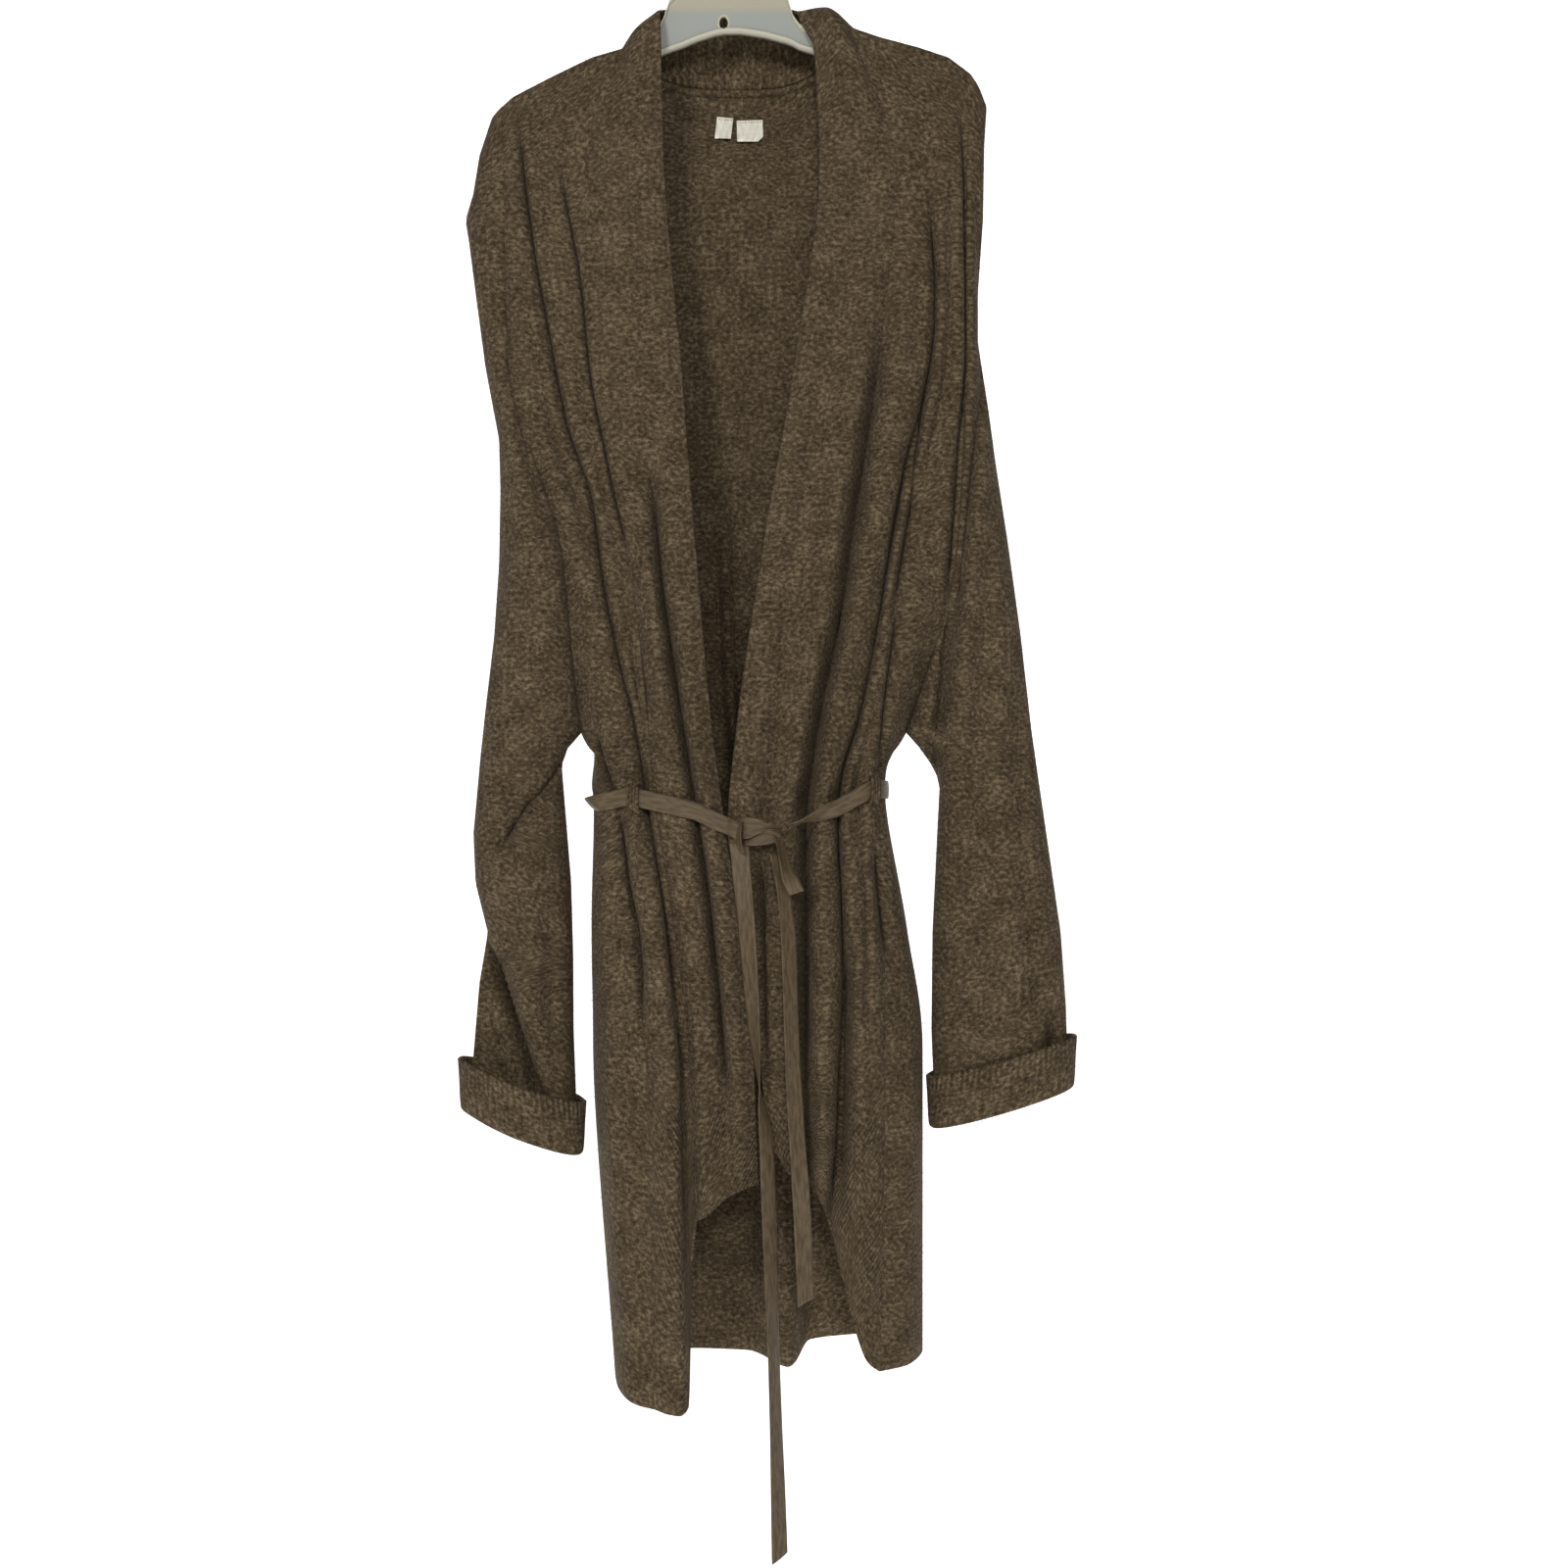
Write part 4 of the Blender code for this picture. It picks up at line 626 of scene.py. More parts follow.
for crease in FRONT_CREASES:
    for name in crease.cloths:
        press(CLOTH_GRIDS[name], crease, CLOTH_GRIDS[name][:, :, 1] < FRONT_DEPTH)
for crease in BACK_CREASES:
    press(back, crease, back[:, :, 1] > FRONT_DEPTH)
below = UNDERARM_ROW * FINE + FINE
back[below:, 0] = front_left[below:, 0]
back[below:, -1] = front_right[below:, -1]
band_rows = LAST_ROW * FINE + 1
band[:band_rows, 0] = front_left[::-1, -1]
band[-band_rows:, 0] = front_right[:, 0]
print("creases in front", len(FRONT_CREASES), "behind", len(BACK_CREASES))

# %% [markdown]
# ## The seam at the back of the neck
#
# The shawl band is linked to the back with a covered seam. Inside the neck it shows as a low ridge
# between two narrow grooves, so both pieces are shaped there, by their distance from the seam.

# %% Ridge and grooves at the neck seam
RIDGE_RISE = 1.3
RIDGE_HALF = 1.5
GROOVE_PLACE = 3.0
GROOVE_HALF = 1.1
GROOVE_DEPTH = 2.7


def seam_relief(distance):
    ridge = RIDGE_RISE * np.exp(-(distance / RIDGE_HALF) ** 2)
    return GROOVE_DEPTH * np.exp(-((distance - GROOVE_PLACE) / GROOVE_HALF) ** 2) - ridge


neck_start = sum(FRONT_LEFT_COLUMNS) * FINE
neck_end = back.shape[1] - sum(FRONT_RIGHT_COLUMNS) * FINE
neck_part = back[:4 * FINE, neck_start + 1:neck_end - 1]
down = np.linalg.norm(neck_part - neck_part[:1], axis=2)
neck_part[:, :, 1] += seam_relief(down)
collar_part = band[LAST_ROW * FINE + 1:len(band) - LAST_ROW * FINE - 1]
up = np.linalg.norm(collar_part - collar_part[:, :1], axis=2)
collar_part[:, :, 1] += seam_relief(up)
print("neck columns", neck_end - neck_start, "collar rows", len(collar_part))

# %% [markdown]
# ## Sleeves and cuffs
#
# The sleeves are set into very deep armholes. Down to the underarm each ring of cloth starts at the
# front of the armhole, goes out to the sleeve's edge and comes back behind it. Below the underarm
# the rings close. The turned-back cuff goes on from the last ring. The left sleeve laps over itself
# above its cuff, and its creases run down and out from the armpit.

# %% Sleeve tables
LEFT_OUTER = np.array([(-203, -192), (-234, -202), (-265, -207), (-285, -213), (-304, -210),
                       (-343, -205), (-402, -197), (-460, -186), (-500, -185), (-558, -186),
                       (-616, -190), (-675, -197), (-714, -201), (-772, -206), (-811, -204),
                       (-850, -194), (-889, -200), (-948, -204), (-990, -209)], float)
LEFT_INNER = np.array([(-690, -122), (-704, -134), (-718, -139), (-753, -136), (-811, -131),
                       (-870, -129), (-928, -128), (-967, -126), (-1025, -124)], float)
RIGHT_OUTER = np.array([(-179, 193), (-195, 199), (-226, 197), (-285, 196), (-343, 192),
                        (-382, 192), (-421, 198), (-480, 206), (-538, 215), (-616, 226),
                        (-694, 235), (-772, 246), (-850, 257), (-909, 261), (-990, 263)], float)
RIGHT_INNER = np.array([(-690, 137), (-702, 147), (-724, 162), (-737, 165), (-772, 162),
                        (-850, 158), (-928, 157), (-1005, 160)], float)
LEFT_DEPTHS = np.array([(-200, 2, 2, 0), (-400, 6, 6, 0), (-600, 22, 20, 0), (-690, 27, 24, -2),
                        (-760, 32, 27, -4), (-870, 34, 29, -10), (-960, 30, 26, -20),
                        (-1030, 28, 24, -26)], float)
RIGHT_DEPTHS = np.array([(-200, 2, 2, 0), (-400, 6, 6, 0), (-600, 22, 20, 0), (-690, 28, 25, 0),
                         (-760, 33, 29, -2), (-870, 33, 30, -6), (-960, 28, 26, -8),
                         (-1030, 25, 23, -8)], float)
LEFT_DROPS = (8.0, 12.0, 18.0, 18.0, 12.0, 8.0, 4.0, 0.0)
RIGHT_DROPS = (11.0, 12.0, 14.0, 12.0, 8.0, 5.0, 3.0, 0.0)
SleeveTable = namedtuple("SleeveTable", "outer inner depths drops end")
LEFT_SLEEVE = SleeveTable(LEFT_OUTER, LEFT_INNER, LEFT_DEPTHS, LEFT_DROPS, (-1018.0, -984.0))
RIGHT_SLEEVE = SleeveTable(RIGHT_OUTER, RIGHT_INNER, RIGHT_DEPTHS, RIGHT_DROPS, (-1000.0, -968.0))
SLEEVE_HALF = 7 * FINE
LOWER_RINGS = 9 * FINE + 1
UNDERARM_DROP = 14.0
WIDE_SLEEVE = 80.0
MOST_SWELL = 0.4
SLEEVE_ROOM = KNIT_WALL + 2.6
MOST_PUSHED = 0.9
Lap = namedtuple("Lap", "top bottom half_width depth lap")
LEFT_LAPS = [Lap((-193, -850), (-142, -986), 4, 0.66, True),
             Lap((-142, -700), (-186, -780), 8, 0.10, False)]
RIGHT_LAPS = [Lap((186, -700), (196, -900), 12, 0.10, False),
              Lap((236, -880), (252, -960), 9, 0.14, False)]
LapFade = namedtuple("LapFade", "starts_before rise ends_at fall")
LAP_FADE = LapFade(0.25, 0.4, 1.12, 0.3)
SLEEVE_CREASES_LEFT = [
    Crease((), ((-137, -708), (-151, -732), (-167, -750), (-186, -780)), 3.0, 12, -2.6, 16),
    Crease((), ((-192, -858), (-183, -890), (-170, -935), (-158, -975), (-150, -996)), 7.5, 12, -3.0, 36),
    Crease((), ((-176, -415), (-165, -480), (-150, -530)), 4.0, 2.6, 0.0, 50),
    Crease((), ((-166, -400), (-151, -470), (-134, -520)), 4.5, 3.0, 0.8, 60),
    Crease((), ((-182, -500), (-172, -570), (-158, -640)), 5.0, 2.2, 0.0, 60),
    Crease((), ((-184, -700), (-176, -800), (-170, -860)), 6.0, 2.6, 0.0, 60),
    Crease((), ((-146, -820), (-148, -900), (-141, -985)), 6.0, 2.8, 0.0, 60),
    Crease((), ((-196, -905), (-186, -940), (-170, -985)), 3.5, 3.5, -1.0, 40),
]
SLEEVE_CREASES_RIGHT = [
    Crease((), ((192, -260), (196, -400), (186, -520), (176, -620), (170, -690)), 3.6, 6, 0.0, 60),
    Crease((), ((171, -590), (167, -650), (161, -705), (158, -770)), 5.5, 13, 2.0, 50),
    Crease((), ((206, -500), (198, -640), (192, -780)), 7.0, 3.0, 0.0, 120),
    Crease((), ((224, -640), (228, -780), (236, -900)), 6.0, 2.4, 0.0, 120),
    Crease((), ((250, -915), (254, -950)), 4.0, 9, 0.0, 16),
]


# %% Pressing creases into both sides of a sleeve
BEHIND_SHIFT_ACROSS = 5
BEHIND_SHIFT_DOWN = 14
BEHIND_SHARE = 0.6
BEHIND_DEEPEST = 8


def press_sleeve(grid, creases):
    """The front takes each crease as listed. The back takes a shallower one, moved beside it."""
    columns = np.arange(grid.shape[1])[None, :]
    below_top = ramp(np.arange(len(grid))[:, None] / (2 * FINE))
    front = ramp((SLEEVE_HALF - columns) / (2 * FINE)) * ramp(columns / 3) * below_top
    behind = ramp((columns - SLEEVE_HALF) / (2 * FINE)) * ramp((2 * SLEEVE_HALF - columns) / 3) * below_top
    for place, crease in enumerate(creases):
        press(grid, crease, front)
        shift_across = BEHIND_SHIFT_ACROSS * math.sin(3 * place)
        shift_down = BEHIND_SHIFT_DOWN * math.cos(2 * place)
        line = tuple((x + shift_across, z + shift_down) for x, z in crease.line)
        depth = -BEHIND_SHARE * min(crease.depth, BEHIND_DEEPEST)
        press(grid, crease._replace(line=line, depth=depth), behind)


# %% Sleeve rings
def lap_share(laps, across, height):
    """How far back the laps push the front of a sleeve, as a share of the room inside."""
    pushed = 0.0
    for lap in laps:
        drop = lap.top[1] - lap.bottom[1]
        along = (lap.top[1] - height) / drop
        centre = lap.top[0] + (lap.bottom[0] - lap.top[0]) * along
        strength = (ramp((along + LAP_FADE.starts_before) / LAP_FADE.rise)
                    * ramp((LAP_FADE.ends_at - along) / LAP_FADE.fall))
        outwards = (across - centre) * math.copysign(1.0, across)
        shape = ramp(outwards / lap.half_width) if lap.lap else math.exp(-(outwards / lap.half_width) ** 2)
        pushed += lap.depth * strength * shape
    return pushed


def share_out(place, width):
    out = math.sin(math.pi * place / (2 * SLEEVE_HALF))
    wide = min(width / WIDE_SLEEVE, 1.0)
    return (1 - wide) * out + wide * out * out


def sleeve_point(share, seam, front, height, table, laps):
    seam_across, seam_depth = seam
    width = abs(between(table.outer, height)[0] - seam_across)
    across = seam_across + math.copysign(width * share, seam_across)
    full_front, full_behind, middle = between(table.depths, height)
    full_front = min(full_front, MOST_SWELL * width)
    full_behind = min(full_behind, MOST_SWELL * width)
    swell = 2 * math.sqrt(max(share * (1 - share), 0.0))
    open_depth = abs(seam_depth) * math.sqrt(max(1 - share * share, 0.0))
    shift = middle * (share if seam_depth else 1.0)
    ahead = shift - open_depth - swell * full_front
    behind = shift + open_depth + swell * full_behind
    if not front:
        return (across, behind, height)
    room = max(behind - ahead - SLEEVE_ROOM, 0.0)
    return (across, ahead + room * min(lap_share(laps, across, height), MOST_PUSHED), height)


def open_rings(front_seam, back_seam, table, laps):
    rings = []
    for row in range(UNDERARM_ROW * FINE + 1):
        drop = np.interp(row / FINE, np.arange(len(table.drops)), table.drops)
        ring = []
        for place in range(2 * SLEEVE_HALF + 1):
            front = place <= SLEEVE_HALF
            seam = front_seam[row] if front else back_seam[row]
            share = share_out(place, abs(between(table.outer, seam[2])[0] - seam[0]))
            height = seam[2] - drop * share
            if row == 0:
                across = seam[0] + (between(table.outer, height)[0] - seam[0]) * share
                ring.append((across, 0.0, height))
            else:
                ring.append(sleeve_point(share, seam[:2], front, height, table, laps))
        ring[0] = tuple(front_seam[row])
        ring[-1] = tuple(back_seam[row])
        rings.append(ring)
    return rings


def closed_rings(first, table, laps):
    rings = []
    for level in np.linspace(0, 1, LOWER_RINGS):
        inner_height = first + (table.end[0] - first) * level
        outer_height = first + (table.end[1] - first) * level
        ring = []
        for place in range(2 * SLEEVE_HALF + 1):
            share = share_out(place, WIDE_SLEEVE)
            height = inner_height + (outer_height - inner_height) * share
            seam = (between(table.inner, height)[0], 0.0)
            ring.append(sleeve_point(share, seam, place <= SLEEVE_HALF, height, table, laps))
        rings.append(ring)
    return rings


def sleeve_grid(front_seam, back_seam, table, laps):
    first = front_seam[UNDERARM_ROW * FINE, 2] - UNDERARM_DROP
    return np.array(open_rings(front_seam, back_seam, table, laps) + closed_rings(first, table, laps))


# %% Cuff rings
CUFF_PROFILE = ((0.0, 0.0), (0.8, -2.6), (2.8, -3.6), (4.7, -2.0), (5.5, 5.0), (6.2, 20.0), (7.2, 36.0))


def cuff_grid(ring):
    """Cloth that goes on from the sleeve's end, turns outwards and stands up."""
    ring = ring[:-1]
    along = np.roll(ring, -1, axis=0) - np.roll(ring, 1, axis=0)
    outwards = np.stack([along[:, 1], -along[:, 0], np.zeros(len(ring))], axis=1)
    outwards /= np.linalg.norm(outwards, axis=1)[:, None]
    for _ in range(FINE * FINE):
        outwards += (np.roll(outwards, 1, axis=0) + np.roll(outwards, -1, axis=0)) / 2
        outwards /= np.linalg.norm(outwards, axis=1)[:, None]
    if np.sum(outwards * (ring - ring.mean(axis=0))) < 0:
        outwards = -outwards
    steps = np.linspace(0, len(CUFF_PROFILE) - 1, (len(CUFF_PROFILE) - 1) * FINE + 1)
    profile = smooth(CUFF_PROFILE, np.arange(len(CUFF_PROFILE)), steps)
    rows = [ring + outwards * out + np.array([0.0, 0.0, up]) for out, up in profile]
    grid = np.array(rows)
    return np.concatenate([grid, grid[:, :1]], axis=1)


sleeve_left = sleeve_grid(front_left[:, 0], back[:, 0], LEFT_SLEEVE, LEFT_LAPS)
sleeve_right = sleeve_grid(front_right[:, -1], back[:, -1], RIGHT_SLEEVE, RIGHT_LAPS)
press_sleeve(sleeve_left, SLEEVE_CREASES_LEFT)
press_sleeve(sleeve_right, SLEEVE_CREASES_RIGHT)
cuff_left = cuff_grid(sleeve_left[-1])
cuff_right = cuff_grid(sleeve_right[-1])
print("sleeve rings", sleeve_left.shape[:2], "cuff rings", cuff_left.shape[:2])

# %% [markdown]
# ## Cloth with two sides
#
# Each grid is the middle of the cloth. It becomes a closed wall: one face moved out, one moved in,
# and a rounded rim along every free edge. The UV map holds lengths in metres along the rows and
# columns, so a knit pattern keeps its size and follows the cloth round each fold.

# %% Walls from grids
RIM_ROUNDNESS = 0.8


def grid_normals(grid, round_trip):
    if round_trip:
        across = np.roll(grid[:, :-1], -1, axis=1) - np.roll(grid[:, :-1], 1, axis=1)
        across = np.concatenate([across, across[:, :1]], axis=1)
    else:
        across = np.gradient(grid, axis=1)
    down = np.gradient(grid, axis=0)
    normal = np.cross(across, down)
    length = np.linalg.norm(normal, axis=2)[:, :, None]
    return normal / np.maximum(length, 1e-9)


def grid_lengths(grid):
    """UV values in metres. Across is each row's own length. Down is one length for the whole row, so
    that the long and the short side of a bent piece don't shear the yarn between them."""
    across = np.linalg.norm(np.diff(grid, axis=1), axis=2).cumsum(axis=1)
    across = np.concatenate([np.zeros((len(grid), 1)), across], axis=1)
    centre = across[:, across.shape[1] // 2]
    across = across - centre[:, None]
    step_down = np.linalg.norm(np.diff(grid, axis=0), axis=2).mean(axis=1)
    down = np.concatenate([[0.0], step_down.cumsum()])
    return across * MM, np.repeat(down[:, None], grid.shape[1], axis=1) * MM


def cloth_wall(grid, wall, facing, round_trip):
    """A closed wall round a grid. Facing is 1 or -1, for the side that the grid's normals are on."""
    rows, columns = grid.shape[:2]
    normal = grid_normals(grid, round_trip) * facing
    across, down = grid_lengths(grid)
    outer = grid + normal * wall / 2
    inner = grid - normal * wall / 2
    index = np.arange(rows * columns).reshape(rows, columns)
    if round_trip:
        index[:, -1] = index[:, 0]
    quads = np.stack([index[:-1, :-1], index[:-1, 1:], index[1:, 1:], index[1:, :-1]], axis=2)
    quads = quads.reshape(-1, 4)
    if facing < 0:
        quads = quads[:, ::-1]
    count = rows * columns
    points = np.concatenate([outer.reshape(-1, 3), inner.reshape(-1, 3)])
    faces = [tuple(int(v) for v in quad) for quad in quads]
    faces += [tuple(int(v) + count for v in reversed(quad)) for quad in quads]
    uv = np.stack([across.reshape(-1), down.reshape(-1)], axis=1)
    uv = np.concatenate([uv, uv])
    return points, faces, uv, quads, count


def rim_faces(quads, points, count, uv):
    """A rounded rim: a middle line pushed out from each free edge, joined to both faces."""
    edges = {}
    for quad in quads:
        for a, b in zip(quad, np.roll(quad, -1)):
            edges[(int(a), int(b))] = True
    border = [pair for pair in edges if (pair[1], pair[0]) not in edges]
    middle = (points[:count] + points[count:]) / 2
    half = np.linalg.norm(points[:count] - points[count:], axis=1) / 2
    push = {}
    for a, b in border:
        along = middle[b] - middle[a]
        normal = points[a] - points[a + count]
        out = np.cross(along, normal)
        size = np.linalg.norm(out)
        if size > 1e-9:
            for end in (a, b):
                push[end] = push.get(end, 0) + out / size
    extra = []
    extra_uv = []
    where = {}
    for end, out in push.items():
        where[end] = 2 * count + len(extra)
        extra.append(middle[end] + out / max(np.linalg.norm(out), 1e-9) * half[end] * RIM_ROUNDNESS)
        extra_uv.append(uv[end])
    faces = []
    for a, b in border:
        if a in where and b in where:
            faces.append((b, a, where[a], where[b]))
            faces.append((where[b], where[a], a + count, b + count))
    return extra, extra_uv, faces


Wall = namedtuple("Wall", "points faces uv")


def wall_of(grid, wall, facing=1, round_trip=False):
    points, faces, uv, quads, count = cloth_wall(grid, wall, facing, round_trip)
    extra, extra_uv, rim = rim_faces(quads, points, count, uv)
    if extra:
        points = np.concatenate([points, extra])
        uv = np.concatenate([uv, extra_uv])
    return Wall(points, faces + rim, uv)


def cloth_piece(name, walls):
    """One piece from one or more walls, with its UV map."""
    points = np.concatenate([wall.points for wall in walls])
    uv = np.concatenate([wall.uv for wall in walls])
    faces = []
    start = 0
    for wall in walls:
        faces += [tuple(corner + start for corner in face) for face in wall.faces]
        start += len(wall.points)
    piece = plain_mesh(name, points * MM, faces)
    layer = piece.data.uv_layers.new(name="cloth")
    corners = np.zeros(len(piece.data.loops), dtype=np.int32)
    piece.data.loops.foreach_get("vertex_index", corners)
    layer.data.foreach_set("uv", uv[corners].reshape(-1).astype(np.float32))
    print(name, "faces", len(piece.data.polygons))
    return piece


def paint(piece, name, values):
    """A number for each point of a piece, which its finish reads as an attribute."""
    layer = piece.data.attributes.new(name, "FLOAT", "POINT")
    layer.data.foreach_set("value", np.asarray(values, dtype=np.float32).reshape(-1))


# %% [markdown]
# ## The heathered yarn
#
# The yarn is spun from fibres of several browns and brushed, so the knit shows soft flecks of two
# or three millimetres and no clear stitches. A picture of the cloth could be wrapped round the
# pieces, but noise on the cloth's own UV map keeps its size everywhere and has no edges. The effect
# is a node group, because the garment and its belt loops share it.


# %% Helpers for node groups
def new_group(name, inputs, outputs, tree_kind="ShaderNodeTree"):
    group = bpy.data.node_groups.new(name, tree_kind)
    for label, kind, value in inputs:
        socket = group.interface.new_socket(label, in_out="INPUT", socket_type=kind)
        if value is not None:
            socket.default_value = value
    for label, kind in outputs:
        group.interface.new_socket(label, in_out="OUTPUT", socket_type=kind)
    return group, group.nodes.new("NodeGroupInput"), group.nodes.new("NodeGroupOutput")


def add_node(tree, kind, inputs=(), **settings):
    """A node with its settings. Each input is a plain value or another node's output to link."""
    node = tree.nodes.new(kind)
    for name, value in settings.items():
        setattr(node, name, value)
    for label, value in dict(inputs).items():
        if isinstance(value, bpy.types.NodeSocket):
            tree.links.new(value, node.inputs[label])
        else:
            node.inputs[label].default_value = value
    return node


def noise(tree, vector, scale, detail, roughness):
    values = {"Vector": vector, "Scale": scale, "Detail": detail, "Roughness": roughness}
    return add_node(tree, "ShaderNodeTexNoise", values).outputs["Fac"]


def maths(tree, operation, first, second, clamp=False):
    node = add_node(tree, "ShaderNodeMath", {0: first, 1: second}, operation=operation, use_clamp=clamp)
    return node.outputs["Value"]


def weighed(tree, *parts):
    """The sum of some values, each times its own weight."""
    total = None
    for value, weight in parts:
        share = maths(tree, "MULTIPLY", value, weight)
        total = share if total is None else maths(tree, "ADD", total, share)
    return total


def stretched(tree, vector, scale):
    return add_node(tree, "ShaderNodeMapping", {"Vector": vector, "Scale": scale}).outputs["Vector"]


def colour_ramp(tree, value, stops):
    node = add_node(tree, "ShaderNodeValToRGB", {"Fac": value})
    steps = node.color_ramp.elements
    while len(steps) < len(stops):
        steps.new(0.5)
    for step, (place, colour) in zip(steps, stops):
        step.position = place
        step.color = (*colour, 1)
    return node.outputs["Color"]


# %% The heather group
FLECKS_PER_METRE = 330.0
CLOUDS_PER_METRE = 42.0
FUZZ_PER_METRE = 1500.0
DARK_FIBRE = (0.017, 0.0115, 0.006)
BASE_FIBRE = (0.068, 0.048, 0.0265)
PALE_FIBRE = (0.195, 0.150, 0.092)
heather, heather_in, heather_out = new_group(
    "heathered_yarn",
    [("Vector", "NodeSocketVector", None), ("Rib", "NodeSocketFloat", 0.0),
     ("Phase", "NodeSocketFloat", 0.0)],
    [("Color", "NodeSocketColor"), ("Height", "NodeSocketFloat")])
cloth_place = heather_in.outputs["Vector"]
streaked = stretched(heather, cloth_place, (0.8, 1.05, 1.0))
flecks = noise(heather, streaked, FLECKS_PER_METRE, 3.0, 0.68)
clouds = noise(heather, cloth_place, CLOUDS_PER_METRE, 3.0, 0.55)
fuzz = noise(heather, streaked, FUZZ_PER_METRE, 2.0, 0.6)
wale = maths(heather, "MULTIPLY", maths(heather, "SINE", heather_in.outputs["Phase"], 0.0),
             heather_in.outputs["Rib"])
tone = weighed(heather, (flecks, 0.78), (clouds, 0.22))
tone = weighed(heather, (tone, 0.84), (fuzz, 0.16), (wale, 0.035))
yarn_colour = colour_ramp(heather, tone, [(0.36, DARK_FIBRE), (0.50, BASE_FIBRE), (0.66, PALE_FIBRE)])
heather.links.new(yarn_colour, heather_out.inputs["Color"])
height = weighed(heather, (flecks, 0.9), (fuzz, 0.35), (wale, 1.0))
heather.links.new(height, heather_out.inputs["Height"])
print("heather nodes", len(heather.nodes))

# %% [markdown]
# ## The woven tape
#
# The ribbon belt and the neck labels are both flat woven tapes. A tape shows fine ribs across it,
# finer threads along it and a little unevenness. One group makes that pattern, and the ribbon and
# the labels give it their own rib spacing and colours.

# %% The tape group
THREADS_PER_METRE = 2600
tape, tape_in, tape_out = new_group(
    "woven_tape",
    [("Vector", "NodeSocketVector", None), ("Ribs per metre", "NodeSocketFloat", 1100.0)],
    [("Tone", "NodeSocketFloat"), ("Height", "NodeSocketFloat")])
tape_place = add_node(tape, "ShaderNodeSeparateXYZ", {"Vector": tape_in.outputs["Vector"]})
turns = maths(tape, "MULTIPLY", tape_place.outputs["Y"], tape_in.outputs["Ribs per metre"])
ribs = maths(tape, "SINE", maths(tape, "MULTIPLY", turns, FULL_TURN), 0.0)
thread_turns = maths(tape, "MULTIPLY", tape_place.outputs["X"], FULL_TURN * THREADS_PER_METRE)
threads = maths(tape, "SINE", thread_turns, 0.0)
wander = noise(tape, stretched(tape, tape_in.outputs["Vector"], (1.0, 0.2, 1.0)), 400.0, 2.0, 0.6)
tape.links.new(weighed(tape, (ribs, 0.08), (wander, 1.0)), tape_out.inputs["Tone"])
tape.links.new(weighed(tape, (ribs, 1.0), (threads, 0.3)), tape_out.inputs["Height"])
print("tape nodes", len(tape.nodes))

# %% Finishes
SHEEN_TINT = (0.62, 0.52, 0.40, 1)


def finish(name, colour, roughness):
    """A material, with the node tree and the shader that the rest of its finish is added to."""
    made = bpy.data.materials.new(name)
    made.use_nodes = True
    shader = made.node_tree.nodes["Principled BSDF"]
    shader.inputs["Base Color"].default_value = (*colour, 1)
    shader.inputs["Roughness"].default_value = roughness
    return made, made.node_tree, shader


def bump(tree, shader, height, strength, distance):
    relief = add_node(tree, "ShaderNodeBump", {"Height": height, "Strength": strength, "Distance": distance})
    tree.links.new(relief.outputs["Normal"], shader.inputs["Normal"])


def soft_sheen(shader, sheen, specular):
    shader.inputs["Sheen Weight"].default_value = sheen
    shader.inputs["Sheen Tint"].default_value = SHEEN_TINT
    shader.inputs["Specular IOR Level"].default_value = specular


def yarn_finish(name, place, strength, sheen):
    """Heathered yarn, laid out on the cloth's own map or on the piece's own axes."""
    made, tree, shader = finish(name, BASE_FIBRE, 0.95)
    if place == "cloth":
        places = {"Vector": add_node(tree, "ShaderNodeUVMap", uv_map="cloth").outputs["UV"]}
        for label in ("rib", "phase"):
            marks = add_node(tree, "ShaderNodeAttribute", attribute_name=label)
            places[label.capitalize()] = marks.outputs["Fac"]
    else:
        places = {"Vector": add_node(tree, "ShaderNodeTexCoord").outputs["Object"]}
    group = add_node(tree, "ShaderNodeGroup", node_tree=heather)
    for label, marks in places.items():
        tree.links.new(marks, group.inputs[label])
    tree.links.new(group.outputs["Color"], shader.inputs["Base Color"])
    bump(tree, shader, group.outputs["Height"], strength, 0.0012)
    soft_sheen(shader, sheen, 0.12)
    shader.inputs["Sheen Roughness"].default_value = 0.55
    return made


def tape_finish(name, dark, pale, per_metre, roughness, sheen):
    """Woven tape with its own rib spacing, between two colours."""
    made, tree, shader = finish(name, pale, roughness)
    uv = add_node(tree, "ShaderNodeUVMap", uv_map="cloth")
    group = add_node(tree, "ShaderNodeGroup", node_tree=tape)
    group.inputs["Ribs per metre"].default_value = per_metre
    tree.links.new(uv.outputs["UV"], group.inputs["Vector"])
    tree.links.new(colour_ramp(tree, group.outputs["Tone"], [(0.35, dark), (0.62, pale)]),
                   shader.inputs["Base Color"])
    bump(tree, shader, group.outputs["Height"], 0.25, 0.0003)
    soft_sheen(shader, sheen, 0.22)
    return made


KNIT = yarn_finish("heathered_knit", "cloth", 0.55, 0.06)
YARN = yarn_finish("loose_yarn", "own", 0.3, 0.15)
RIBBON = tape_finish("taupe_ribbon", (0.060, 0.041, 0.021), (0.115, 0.082, 0.045), 1100.0, 0.42, 0.02)
LABEL = tape_finish("label_tape", (0.66, 0.62, 0.50), (0.84, 0.81, 0.70), 1800.0, 0.75, 0.0)

# %% [markdown]
# ## The moulded hanger
#
# The hanger is one pale frosted moulding. Its rim is thicker than its web and lets the light
# through as cream, and so does the lip round the oval hole. The web is beige towards the hook and
# cool grey lower down. Its shape is right in the CAD part, so it stays, and only the finish is new.
# Depth finds the rim, height finds the change of colour, and distance finds the lip.

